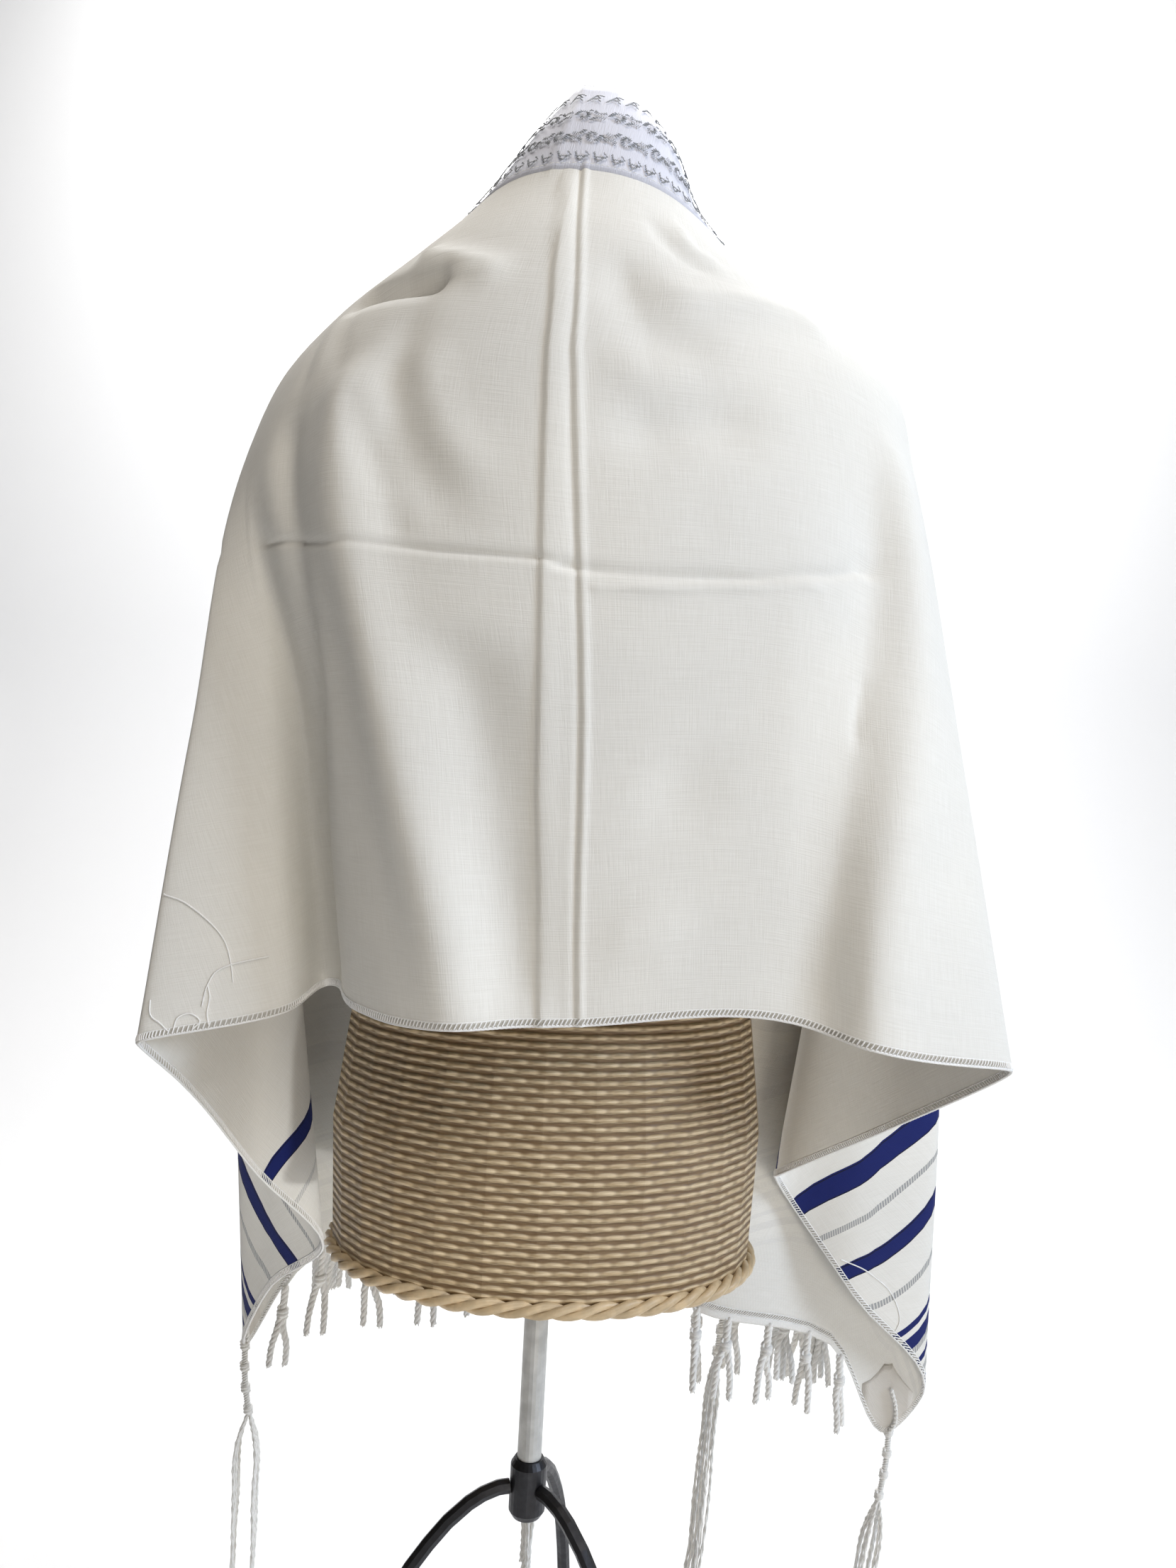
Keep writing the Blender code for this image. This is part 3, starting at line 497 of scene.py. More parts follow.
# ---- creases
# Soft troughs and ridges pressed into the cloth, in millimetres: the height, the half width on the
# left of a line that runs down, or below one that runs right, the half width on the other side, how
# much the height comes and goes along the line, and the line on the flat cut.
Crease = namedtuple("Crease", "name height width other uneven line")
RIGHT_FOLD = [(3, 80), (9, 135), (15, 175), (18.5, 204), (20.7, 232), (20.5, 263), (20, 305),
              (19.5, 345), (19, 384), (18, 435), (16, 484), (14, 519), (12, 565), (10.5, 640)]
CREASES = [Crease(*row) for row in (
    ("centre fold left", 2.1, 1.3, 8.5, 0.15, [(-9, 80), (-2, 136), (2, 172), (6, 197), (8.5, 225),
     (8.3, 255), (7, 291), (5, 329), (1, 385), (-3, 437), (-6, 485), (-7, 525), (-9, 571),
     (-12.5, 640)]),
    ("neck fold", 1.2, 1.8, 4.5, 0.1, [(-9, -30), (-12, 30), (-16, 60), (-18, 94)]),
    ("centre fold right groove", -1, 2.4, 1.6, 0.3, [(along - 3, down) for along, down in RIGHT_FOLD]),
    ("centre fold right", 1.3, 1.5, 2.2, 0.3, RIGHT_FOLD),
    ("cross fold left", -2.4, 2.2, 3.4, 0.45, [(-330, 318), (-231, 325), (-160, 338), (-103, 347),
     (-40, 349), (3, 348), (10, 348)]),
    ("cross fold right", -2.6, 3.2, 4.6, 0.35, [(3, 350), (20, 352), (57, 354), (100, 353), (145, 342),
     (193, 319)]),
    ("cross fold lip", 1.6, 3, 2.6, 0.5, [(20, 362), (57, 361), (100, 358), (140, 350)]),
    ("back trough", -8, 14, 17, 0.1, [(-150, 252), (-142, 284), (-136, 333), (-144, 383), (-158, 430),
     (-176, 483), (-190, 540), (-200, 620)]),
    ("back ridge", 10, 19, 19, 0.1, [(-102, 230), (-93, 270), (-90, 323), (-87, 376), (-84, 429),
     (-76, 480), (-66, 522), (-58, 564), (-52, 640)]),
    ("back valley", -8, 18, 22, 0.1, [(-40, 380), (-33, 440), (-28, 490), (-26, 560), (-26, 620)]),
    ("shoulder fan first", -2.6, 7.5, 7.5, 0.2, [(-94, 252), (-78, 288), (-64, 318), (-60, 350)]),
    ("shoulder fan second", -3.2, 14, 12, 0.2, [(-70, 196), (-64, 246), (-54, 284), (-40, 316),
     (-30, 345)]),
    ("shoulder fan crest", 3, 10, 10, 0.2, [(-54, 222), (-50, 254), (-34, 285), (-16, 310)]),
    ("shoulder line first", -1.6, 4.5, 4.5, 0.2, [(-128, 190), (-120, 223), (-104, 250)]),
    ("shoulder line second", -1.4, 4, 4, 0.2, [(-152, 196), (-150, 225), (-142, 252)]),
    ("shoulder line third", 1.5, 4.5, 4.5, 0.2, [(-142, 186), (-138, 222), (-126, 250)]),
    ("shoulder pocket", -12.5, 8.5, 6.5, 0.0, [(-140, 176), (-104, 179), (-74, 181), (-50, 181)]),
    ("shoulder pocket lip", 5, 7.5, 8, 0.0, [(-96, 146), (-78, 158), (-58, 166), (-36, 175),
     (-18, 180)]),
    ("drape hollow", -4.2, 12, 10, 0.2, [(30, 150), (36, 182), (46, 203), (58, 213), (90, 214)]),
    ("drape crest", 4, 8.5, 11, 0.1, [(46, 172), (66, 184), (97, 180), (130, 178), (160, 185)]),
    ("second drape crest", 2.4, 8, 8, 0.2, [(26, 231), (51, 235), (74, 226)]),
    ("second drape hollow", -5, 18, 15, 0.2, [(20, 266), (52, 268), (84, 260), (116, 246)]),
    ("neck pinch", 2.2, 4, 4, 0.2, [(66, 112), (67, 129), (73, 140), (92, 144)]),
    ("neck pinch hollow", -2.6, 5, 5, 0.2, [(46, 118), (54, 134), (66, 149), (84, 156)]),
    ("right wing ridge", 8, 18, 26, 0.1, [(196, 215), (208, 333), (211, 393), (203, 454), (192, 502),
     (184, 549), (178, 660)]),
    ("right wing hollow", -7, 30, 18, 0.1, [(176, 256), (182, 322), (172, 414), (156, 500),
     (144, 640)]),
    ("right wing wrinkle", -2.2, 4, 4, 0.1, [(178, 392), (172, 414), (170, 440)]),
    ("fold end wrinkle", -1.8, 3, 3, 0.1, [(160, 322), (166, 329), (176, 331), (186, 324)]),
    ("short wrinkle", -1.3, 3.6, 3.6, 0.1, [(74, 300), (73, 318), (74, 336)]),
    ("lower hollow", -3.2, 24, 24, 0.2, [(40, 470), (72, 482), (96, 488)]),
    ("lower crest", 2.6, 20, 20, 0.2, [(18, 552), (40, 560), (80, 560)]),
)]
FADE = 2.0  # half widths over which a crease fades in at each end of its line
UNEVEN_TURN = 17.0  # radians of coming and going along a crease
UNEVEN_START = 2.1  # radians from one crease's start to the next one's


def along_line(spots, line):
    """How far spots on the flat cut are from a line, how far along it, and on which side of it."""
    line = np.array(line)
    spans = step_lengths(line)
    starts = np.concatenate([[0.0], np.cumsum(spans)])
    nearest = np.full(len(spots), np.inf)
    run = np.zeros(len(spots))
    side = np.zeros(len(spots))
    for a, b, span, start in zip(line[:-1], line[1:], spans, starts):
        way = (b - a) / span
        part = np.clip((spots - a) @ way, 0.0, span)
        off = spots - (a + part[:, None] * way)
        far = np.linalg.norm(off, axis=1)
        closer = far < nearest
        nearest[closer] = far[closer]
        run[closer] = (start + part)[closer]
        side[closer] = np.sign(way[0] * off[:, 1] - way[1] * off[:, 0])[closer]
    return nearest, run, starts[-1], side


def press_creases(places, cuts):
    """Lift and sink the cloth along its creases."""
    spots = cuts.reshape(-1, 2) * MM
    lift = np.zeros(len(spots))
    for number, crease in enumerate(CREASES):
        far, run, length, side = along_line(spots, crease.line)
        width = np.where(side > 0, crease.width, crease.other)
        turn = run / length * UNEVEN_TURN + number * UNEVEN_START
        come = 1 - crease.uneven * (0.5 + 0.5 * np.sin(turn))
        rise = min(FADE * max(crease.width, crease.other), length / 2)
        fade = np.clip(np.minimum(run, length - run) / rise, 0.0, 1.0)
        lift += crease.height * np.exp(-(far / width) ** 2) * come * fade ** 2 * (3 - 2 * fade)
    return places + grid_normals(places) * (lift / MM).reshape(places.shape[:2])[..., None]


class HungCloth:
    """The grid of the hung cloth, and the hung place of any spot on the flat cut."""

    def __init__(self):
        places, self.cuts, self.patched = sheet_grid()
        self.places = press_creases(places, self.cuts)
        self.normals = grid_normals(self.places)
        corners = cells(*places.shape[:2])
        self.triangles = np.concatenate([corners[:, [0, 1, 2]], corners[:, [0, 2, 3]]])
        self.spots = [Vector((*spot, 0.0)) for spot in self.cuts.reshape(-1, 2)]
        self.points = [Vector(place) for place in self.places.reshape(-1, 3)]
        self.ways = [Vector(way) for way in self.normals.reshape(-1, 3)]
        self.tree = BVHTree.FromPolygons(self.spots, self.triangles.tolist())

    def at(self, along, down, lift=0.0):
        """The hung place of a spot, lifted outwards from the middle of the cloth, and the way out."""
        spot, _, index, _ = self.tree.find_nearest(Vector((along, down, 0.0)))
        corners = self.triangles[index]
        flat = [self.spots[k] for k in corners]
        place = barycentric_transform(spot, *flat, *[self.points[k] for k in corners])
        way = barycentric_transform(spot, *flat, *[self.ways[k] for k in corners]).normalized()
        return place + way * lift, way


# ---- finishes
WHITE = (1.0, 1.0, 1.0)
IVORY = (0.83, 0.82, 0.785)
BLUE = (0.004, 0.012, 0.125)
BLUE_EDGE = (0.004, 0.006, 0.03)
SILVER = (0.36, 0.37, 0.38)
SATIN = (0.71, 0.72, 0.80)
# the corner patches' colour: a darker cream than the cloth, partly the patches' own tone and partly
# painted shade of the corners inside the folds
COTTON = (0.70, 0.67, 0.62)

# Woven stripes, from the short end: start and stop in millimetres, and the yarn.
STRIPES = [
    (0, 5, "silver"), (5, 9, "blue"), (9, 13, "silver"), (20, 28, "blue"), (34, 38, "blue"),
    (46, 52, "silver"), (52, 58, "blue"), (64, 69, "silver"), (74, 78, "blue"),
    (83, 88, "silver"), (88, 96, "blue"), (101, 105, "blue"), (127, 131, "silver"),
    (155.5, 166.5, "blue"), (189, 193, "silver"), (215, 231, "blue"),
    (274.5, 278.5, "silver"), (308.5, 321.0, "blue"),
]
YARN_COLOURS = {"ground": IVORY, "blue": BLUE, "silver": SILVER}
YARN_KINDS = {"ground": dimmed(WHITE, 0.0), "blue": dimmed(WHITE, 0.5), "silver": WHITE}
STRIPE_REACH = 360.0  # what the ramps of the stripes cover, in millimetres
WIDE = 8.5  # blue stripes wider than this have dark edges
DARK_EDGE = 0.9  # the width of those
FACE_SHOWS = (260.0, 295.0)  # on the inner face the stripes nearer the end than this float unseen
SILVER_HATCH = 2.4  # from one slanting thread of a silver stripe to the next
UNDER_STITCHES = (2.3, 3.9)  # from an edge: where the stitched edge's shade starts to go and is gone

# Where the stripes bow off their straight lines, in millimetres: how far they do, how far down the
# bow starts at the short end, how much less far down for each millimetre from the end, and how far
# above its start it is full.
Bow = namedtuple("Bow", "far start lean reach")
RIGHT_BOW = Bow(60.0, 695.0, 0.7, 110.0)
RIGHT_LESS = (190.0, 240.0, 0.25)  # beyond these distances from the end it is less by this share
RIGHT_SHIFT = 3.0  # how much nearer the right end its stripes lie
LEFT_BOW = Bow(14.0, 640.5, 0.47, 70.0)
LEFT_DIP = Bow(6.0, 610.0, 0.0, 40.0)  # the middle stripes' own bow, which goes the other way
LEFT_BEND = Bow(14.0, 610.0, 0.0, 80.0)  # the last stripe's, which also does
DIP_COMES, DIP_GOES = (110.0, 150.0), (200.0, 240.0)  # distances from the end
BEND_COMES = (240.0, 300.0)
LEFT_DRAWN = (184.0, 0.28)  # the left end is drawn out nearer the end than this, by this share
STRAIGHT_ABOVE = (440.0, 150.0)  # the stripes start to straighten here, over this height


def stripe_stops(colours):
    """Stops of a ramp over the distance from the short end."""
    stops = []
    previous = 0.0
    for start, stop, yarn in STRIPES:
        if start > previous:
            stops.append((previous / STRIPE_REACH, colours["ground"]))
        stops.append((start / STRIPE_REACH, colours[yarn]))
        previous = stop
    stops.append((previous / STRIPE_REACH, colours["ground"]))
    return stops


def bowed(bow, from_end, down):
    """How far a bow takes the stripes at a place."""
    return (bow.start - from_end * bow.lean - down).smooth(0.0, bow.reach) * bow.far


def stripe_distance(look):
    """How far a spot is from its short end as the stripes count it, how far down, and how far."""
    across, below, _ = look.parts(look.on_cut())
    along = across * (CUT_LENGTH * MM) - CUT_LENGTH * MM / 2
    down = below * (CUT_LENGTH * MM)
    from_end = END * MM - abs(along)
    right = along.above(0.0)
    *less_from, less = RIGHT_LESS
    right_bow = bowed(RIGHT_BOW, from_end, down) * (1.0 - from_end.smooth(*less_from) * less)
    middle = from_end.smooth(*DIP_COMES) * (1.0 - from_end.smooth(*DIP_GOES))
    dip = bowed(LEFT_DIP, from_end, down) * middle
    bend = bowed(LEFT_BEND, from_end, down) * from_end.smooth(*BEND_COMES)
    left_bow = bowed(LEFT_BOW, from_end, down) - dip - bend
    straight, over = STRAIGHT_ABOVE
    bow = (right * right_bow + (1.0 - right) * left_bow) * (1.0 - (straight - down).smooth(0.0, over))
    latest, share = LEFT_DRAWN
    drawn = look.sum("MAXIMUM", latest - from_end, 0.0) * share
    return from_end - bow + right * RIGHT_SHIFT + (1.0 - right) * drawn, down, from_end


def dark_edges(distance):
    """1 on the dark edges of the wide blue stripes."""
    edges = 0.0
    for start, stop, yarn in STRIPES:
        if yarn == "blue" and stop - start > WIDE:
            off = abs(distance - (start + stop) / 2)
            half = (stop - start) / 2
            edges = edges + off.above(half - DARK_EDGE) * (1.0 - off.above(half))
    return edges


def woven(look):
    """The height of the warp and the weft."""
    place = look.on_cut()
    warp = look.grain(place, (2600.0, 90.0, 1.0), 3.0)
    weft = look.grain(place, (70.0, 2600.0, 1.0), 3.0)
    return (warp + weft) * 0.5


def finish_cloth(name, inner):
    """Ivory wool and cotton with woven blue and silver stripes at each end."""
    look = Finish(name, Sheen_Weight=0.02, Specular_IOR_Level=0.2)
    distance, down, from_end = stripe_distance(look)
    share = distance / STRIPE_REACH
    yarn, kind = [look.node("ShaderNodeValToRGB", {"stops": stripe_stops(shown)}, {"Fac": share})
                  for shown in (YARN_COLOURS, YARN_KINDS)]
    hatch = (down + distance * 0.7).wave(SILVER_HATCH).smooth(0.55, 0.8) * kind.smooth(0.7, 0.9)
    coloured = (hatch * 0.75).mix(dark_edges(distance).mix(yarn, BLUE_EDGE), IVORY)
    if inner:
        shows = distance.smooth(*FACE_SHOWS) * 0.94 + 0.06
        coloured = shows.mix(IVORY, coloured)
        kind = kind * shows
    threads = woven(look)
    # painted shade: the cloth is darkened to a grey within a few millimetres of every stitched edge,
    # where the overlock shades it
    clear = (CUT_WIDTH * MM - down).smooth(*UNDER_STITCHES) * from_end.smooth(*UNDER_STITCHES)
    cloud = look.noise(look.on_cut(), 14.0, 2.0)
    toned = look.multiplied(coloured, threads.smooth(0.30, 0.70).mix((0.93, 0.925, 0.915), WHITE),
                            cloud.smooth(0.3, 0.7).mix((0.97, 0.97, 0.965), (1.02, 1.015, 1.0)),
                            clear.mix((0.66, 0.64, 0.61), WHITE))
    return look.cover(threads + kind.smooth(0.2, 0.4) * 0.6, 0.00035, Base_Color=toned,
                      Roughness=0.74 - kind * 0.2, Metallic=kind.smooth(0.7, 0.9) * 0.5)


def finish_satin(name, tint, rough):
    """A smooth cloth with a fine grain."""
    look = Finish(name, Specular_IOR_Level=0.15)
    place = look.on_cut()
    grain = look.grain(place, (2400.0, 160.0, 1.0), 2.0)
    cloud = look.noise(place, 40.0, 3.0)
    colour = grain.smooth(0.3, 0.7).mix(dimmed(tint, 0.96), tint)
    return look.cover(grain + cloud * 1.5, 0.0003, Base_Color=colour, Roughness=rough + cloud * 0.16)


def finish_yarn(name, colour, rough, metal, scale, depth):
    """Twisted yarn."""
    look = Finish(name, Metallic=metal, Sheen_Weight=0.1)
    fibre = look.grain(look.in_space(), (scale, scale, scale * 0.35), 3.0)
    toned = fibre.smooth(0.25, 0.75).mix(dimmed(colour, 0.90), colour)
    return look.cover(fibre, depth, Base_Color=toned, Roughness=rough + fibre * 0.1)


STAKES = 48  # upright canes round the torso
WEAVER_PITCH = 0.0052  # from one row of cane to the next


def finish_wicker():
    """Woven cane: flat weavers over upright stakes."""
    look = Finish("wicker")
    place = look.in_space()
    x, y, z = look.parts(place)
    turn = look.sum("ARCTAN2", y - POST_FROM_MIDDLE[1], x - POST_FROM_MIDDLE[0])
    weaver = z / WEAVER_PITCH
    odd = look.sum("FLOOR", weaver) * 0.5
    over = (turn * (STAKES / (2 * pi)) + odd).wave(1.0)
    height = weaver.wave(1.0) * (0.45 + over * 0.9)
    streak = look.grain(place, (60.0, 60.0, 900.0), 3.0)
    cane = streak.smooth(0.3, 0.7).mix((0.50, 0.37, 0.21), (0.72, 0.58, 0.38))
    # painted shade: the cane is darkened where the weave is low, in the hollows between the weavers
    colour = look.multiplied(cane, height.smooth(0.05, 0.75).mix((0.28, 0.22, 0.16), WHITE))
    return look.cover(height, 0.0016, Base_Color=colour, Roughness=0.45 + streak * 0.2)


def finish_bare(name, colour, rough, metal, scale, depth):
    """A painted or forged surface with slight unevenness."""
    look = Finish(name, Metallic=metal)
    mottle = look.noise(look.in_space(), scale, 4.0)
    toned = mottle.smooth(0.3, 0.75).mix(dimmed(colour, 0.75), colour)
    return look.cover(mottle, depth, Base_Color=toned, Roughness=rough - mottle * 0.15)


def finish_wood():
    """Turned beech, its grain along the post."""
    look = Finish("turned_wood", Coat_Weight=0.3, Coat_Roughness=0.3)
    grain = look.grain(look.in_space(), (260.0, 260.0, 18.0), 4.0)
    colour = grain.smooth(0.3, 0.7).mix((0.30, 0.17, 0.08), (0.50, 0.33, 0.18))
    return look.cover(grain, 0.0003, Base_Color=colour, Roughness=0.38 + grain * 0.2)


# ---- strands
def add_strands(name, sharpness):
    """A curve that gathers strands, whose points hold their own radius in metres."""
    curve = bpy.data.curves.new(name, "CURVE")
    curve.dimensions = "3D"
    curve.bevel_depth = 1.0
    curve.bevel_resolution = sharpness
    curve.use_fill_caps = True
    return add_thing(name, curve)


def add_strand(thing, path, radii):
    """One strand along a path, of one radius or one for each point."""
    if isinstance(radii, float):
        radii = [radii] * len(path)
    spline = thing.data.splines.new("POLY")
    spline.points.add(len(path) - 1)
    spline.use_smooth = True
    for point, place, radius in zip(spline.points, path, radii):
        point.co = (*place, 1.0)
        point.radius = radius


def side_ways(path):
    """Two directions square to a path at each of its points, which never turn suddenly."""
    ways = [(path[min(k + 1, len(path) - 1)] - path[max(k - 1, 0)]).normalized()
            for k in range(len(path))]
    first = ways[0].orthogonal().normalized()
    found = []
    for way in ways:
        first = (first - way * first.dot(way)).normalized()
        found.append((first, way.cross(first)))
    return found


def level_way(angle):
    """A level direction at an angle."""
    return Vector((cos(angle), sin(angle), 0.0))


def level_draw(draws, reach):
    """A level shift drawn at random, with each part within a reach."""
    return Vector((*draws.uniform(-reach, reach, 2), 0.0))


# A cord: how many plies, how far from its middle they lie, how far one turn takes, and their radius.
Cord = namedtuple("Cord", "plies radius pitch thin")
TASSEL_STEM = Cord(3, 0.0015, 0.014, 0.0019)
TASSEL_TAIL = Cord(3, 0.0015, 0.016, 0.0018)
WINDING = Cord(2, 0.0018, 0.0042, 0.0009)
TZITZIT_STRAND = Cord(2, 0.0008, 0.012, 0.0009)
LOOP_CORD = Cord(2, 0.0008, 0.008, 0.0010)


def twist(thing, path, cord, start=0.0, taper=1.0):
    """The plies of a cord, twisted round a path."""
    frames = side_ways(path)
    run = 0.0
    turns = []
    for k, place in enumerate(path):
        if k:
            run += (place - path[k - 1]).length
        turns.append(run / cord.pitch * 2 * pi)
    sizes = [1 + (taper - 1) * k / (len(path) - 1) for k in range(len(path))]
    for ply in range(cord.plies):
        points = []
        for place, (u, v), turn, size in zip(path, frames, turns, sizes):
            angle = turn + start + 2 * pi * ply / cord.plies
            points.append(place + (u * cos(angle) + v * sin(angle)) * cord.radius * size)
        add_strand(thing, points, [cord.thin * size for size in sizes])


# A knot of two windings: their radius, that of the yarn, and how far each is from its middle.
Knot = namedtuple("Knot", "radius thick apart")
TASSEL_KNOT = Knot(0.0028, 0.0022, 0.0014)
TZITZIT_KNOT = Knot(0.0024, 0.0017, 0.0012)
KNOT_TURNS = 1.6
KNOT_STEPS = 19
KNOT_RISE = 2.4  # what a winding rises by, in yarns' radii


def add_knot(thing, middle, way, knot):
    """A knot: a yarn wound twice round on itself."""
    u = way.orthogonal().normalized()
    v = way.cross(u)
    for half in (-1, 1):
        place = middle + way * knot.apart * half
        path = []
        for step in range(KNOT_STEPS + 1):
            angle = 2 * pi * KNOT_TURNS * step / KNOT_STEPS
            rise = (step / KNOT_STEPS - 0.5) * knot.thick * KNOT_RISE
            path.append(place + (u * cos(angle) + v * sin(angle)) * knot.radius + way * rise)
        add_strand(thing, path, knot.thick)


# ---- the sewn pieces
CORNER_NAMES = ("left_front", "left_hem", "right_hem", "right_front")


def make_atara(hung, satin):
    """The satin neck band, on the outside of the neck edge."""
    rows = slice(0, ROWS_BAND + 1)
    base = hung.places[:, rows] + hung.normals[:, rows] * (OUTSIDE + SEAM_GAP)
    return add_sheet("atara", base, hung.cuts[:, rows], ATARA_WALL, -1.0, satin)


def make_patches(hung, cotton):
    """The square patches inside the four corners."""
    patched = hung.patched
    starts = [k for k in range(len(patched)) if patched[k] and not (k and patched[k - 1])]
    rows = slice(-ROWS_PATCH - 1, None)
    made = []
    for name, start in zip(CORNER_NAMES, starts):
        stop = start
        while stop < len(patched) and patched[stop]:
            stop += 1
        columns = slice(start, stop)
        base = hung.places[columns, rows] - hung.normals[columns, rows] * (OUTSIDE + SEAM_GAP)
        made.append((name, add_sheet(name + "_corner_patch", base, hung.cuts[columns, rows],
                                     PATCH_WALL, 1.0, cotton)))
    return made


# ---- stitching
THREAD = 0.00032  # radius of a sewing thread
OVERLOCK_REACH = 0.0036  # from the edge to the inner needle line
OVERLOCK_PITCH = 0.0024
# One slanted stitch: the share of the pitch, how far from the edge, and how far off the cloth.
OVERLOCK_STITCH = ((0.0, 0.0002, 0.0), (0.4, OVERLOCK_REACH / 2, THREAD), (0.8, OVERLOCK_REACH, 0.0))
STITCH_THREAD = THREAD * 1.5
NEEDLE_THREAD = THREAD * 1.3
EDGE_OUT = 0.0004  # the cord on the edge: how far out it lies
EDGE_SWAY = 0.0003  # how far it sways to each face
EDGE_CORD = (0.0012, 0.00095)  # its radius at every other turn
EDGE_INSIDE = 0.002  # where the way out over the edge is measured from


def add_overlock(thing, hung, starts, ends, inset):
    """The overlocked edge from one spot to another: slanted stitches on both faces, and a cord."""
    starts, ends, inset = np.array(starts), np.array(ends), np.array(inset)
    count = int(np.abs(ends - starts).sum() / OVERLOCK_PITCH)

    def place_at(share, depth, lift=0.0):
        """The hung place at a share of the edge and a depth in from it."""
        return hung.at(*(starts + (ends - starts) * share + inset * depth), lift)

    for face in (1, -1):
        for stitch in range(count):
            slant = [place_at(min((stitch + on) / count, 1.0), depth, (OUTSIDE + rise) * face)[0]
                     for on, depth, rise in OVERLOCK_STITCH]
            add_strand(thing, slant, STITCH_THREAD)
        needle = [place_at(stitch / count, OVERLOCK_REACH, OUTSIDE * face)[0]
                  for stitch in range(count + 1)]
        add_strand(thing, needle, NEEDLE_THREAD)
    edge = []
    for turn in range(2 * count + 1):
        place, way = place_at(turn / (2 * count), 0.0)
        inside, _ = place_at(turn / (2 * count), EDGE_INSIDE)
        sway = way * (EDGE_SWAY if turn % 2 else -EDGE_SWAY)
        edge.append(place + (place - inside).normalized() * EDGE_OUT + sway)
    add_strand(thing, edge, [EDGE_CORD[turn % 2] for turn in range(len(edge))])


def make_overlock(hung):
    """The overlocked edges of the shawl."""
    thing = add_strands("overlocked_edges", 0)
    add_overlock(thing, hung, (-END, CUT_WIDTH), (END, CUT_WIDTH), (0.0, -1.0))
    for end, inset in ((-END, 1.0), (END, -1.0)):
        add_overlock(thing, hung, (end, 0.0), (end, CUT_WIDTH), (inset, 0.0))
    for start, stop in ((-END, -ATARA_REACH), (ATARA_REACH, END)):
        add_overlock(thing, hung, (start, 0.0), (stop, 0.0), (0.0, 1.0))
    return thing


# Strokes of the silver work, in millimetres along and down, for one repeat of each row.
Motif = namedtuple("Motif", "name down pitch width strokes")
MOTIFS = [
    Motif("top border", 20.5, 11.4, 1.1,
          [[(-4.6, 4.0), (-2.6, 0.6), (0.4, -4.2)], [(0.4, -4.2), (1.6, -2.0), (2.4, -0.4)],
           [(-3.0, 1.4), (-0.6, 0.2), (1.6, 0.6)], [(0.4, -4.2), (2.8, -4.4), (4.4, -3.0)],
           [(1.8, 2.0), (3.4, 3.6)]]),
    Motif("upper scroll", 41.0, 20.4, 2.3,
          [[(-9.5, 0.0), (-6.5, -4.6), (-2.2, -2.8), (-1.6, 1.2), (-4.6, 3.0), (-6.4, 0.6)],
           [(0.6, 4.8), (4.0, 1.8), (8.6, 3.2)], [(1.8, -4.4), (4.6, -1.6), (9.0, -2.6)],
           [(-0.6, -4.6), (0.2, -5.4)]]),
    Motif("lower scroll", 59.5, 20.4, 2.3,
          [[(9.0, -1.0), (6.2, 4.2), (1.8, 2.8), (1.0, -1.0), (3.8, -3.2), (5.8, -0.4)],
           [(-1.2, -4.6), (-4.2, -1.4), (-8.8, -2.8)], [(-2.2, 4.6), (-5.0, 1.8), (-9.4, 3.0)],
           [(-9.6, 0.2), (-10.4, 1.0)]]),
    Motif("bottom border", 76.5, 10.8, 1.1,
          [[(-4.2, -3.6), (-2.6, 0.8), (-0.8, 4.0)], [(-0.8, 4.0), (1.2, 1.6), (2.0, -0.4)],
           [(-2.8, 0.4), (-0.4, 0.0), (2.8, 0.4), (4.2, -1.4)], [(1.6, -3.6), (3.4, -2.2)]]),
]
SILVER_PITCH = 0.00066  # from one stitch of a stroke to the next
SILVER_THREAD = 0.00031
SILVER_SLANT = 0.35
SILVER_LIFT = (0.00012, 0.00022)  # off the band, at every other stitch
BAND_FACE = OUTSIDE + SEAM_GAP + ATARA_WALL
BAND_END = 0.010  # clear of silver work at each end of the band


def add_satin_stitch(thing, hung, stroke, width):
    """One stroke of silver work: thread laid to and fro across it."""
    path = path_on_cut(stroke, 6)
    spans = [0.0]
    for before, after in zip(path[:-1], path[1:]):
        spans.append(spans[-1] + (after - before).length)
    count = max(2, int(spans[-1] / SILVER_PITCH))
    points = []
    for stitch in range(count + 1):
        run = spans[-1] * stitch / count
        index = min(max(int(np.searchsorted(spans, run)), 1), len(path) - 1)
        part = (run - spans[index - 1]) / max(spans[index] - spans[index - 1], TINY)
        middle = path[index - 1].lerp(path[index], part)
        way = (path[index] - path[index - 1]).normalized()
        side = Vector((-way.y, way.x, 0.0)) + way * SILVER_SLANT
        place = middle + side * (width / 2) * (1 if stitch % 2 else -1)
        points.append(hung.at(place.x, place.y, BAND_FACE + SILVER_LIFT[stitch % 2])[0])
    add_strand(thing, points, SILVER_THREAD)


def make_silver_work(hung):
    """The silver borders and scrolls worked on the neck band."""
    thing = add_strands("atara_silver_work", 0)
    for motif in MOTIFS:
        count = int(2 * (ATARA_REACH - BAND_END) * MM / motif.pitch)
        for repeat in range(count):
            middle = (repeat - (count - 1) / 2) * motif.pitch
            for stroke in motif.strokes:
                placed = [(middle + x, motif.down + y) for x, y in stroke]
                add_satin_stitch(thing, hung, placed, motif.width / MM)
    return thing


BAND_SEAMS = (0.0028, ATARA_WIDTH - 0.0032)  # how far down the neck band's seams are
SEAM_END = 0.003  # from a seam's end to the end of the band
SEAM_PITCH = 0.0034  # from one machine stitch to the next
SEAM_STITCH = 0.0026  # the length of one
SEAM_THREAD = 0.00020
SEAM_COURSE = ((0.0, -0.0001), (0.3, 0.00022), (0.7, 0.00022), (1.0, -0.0001))


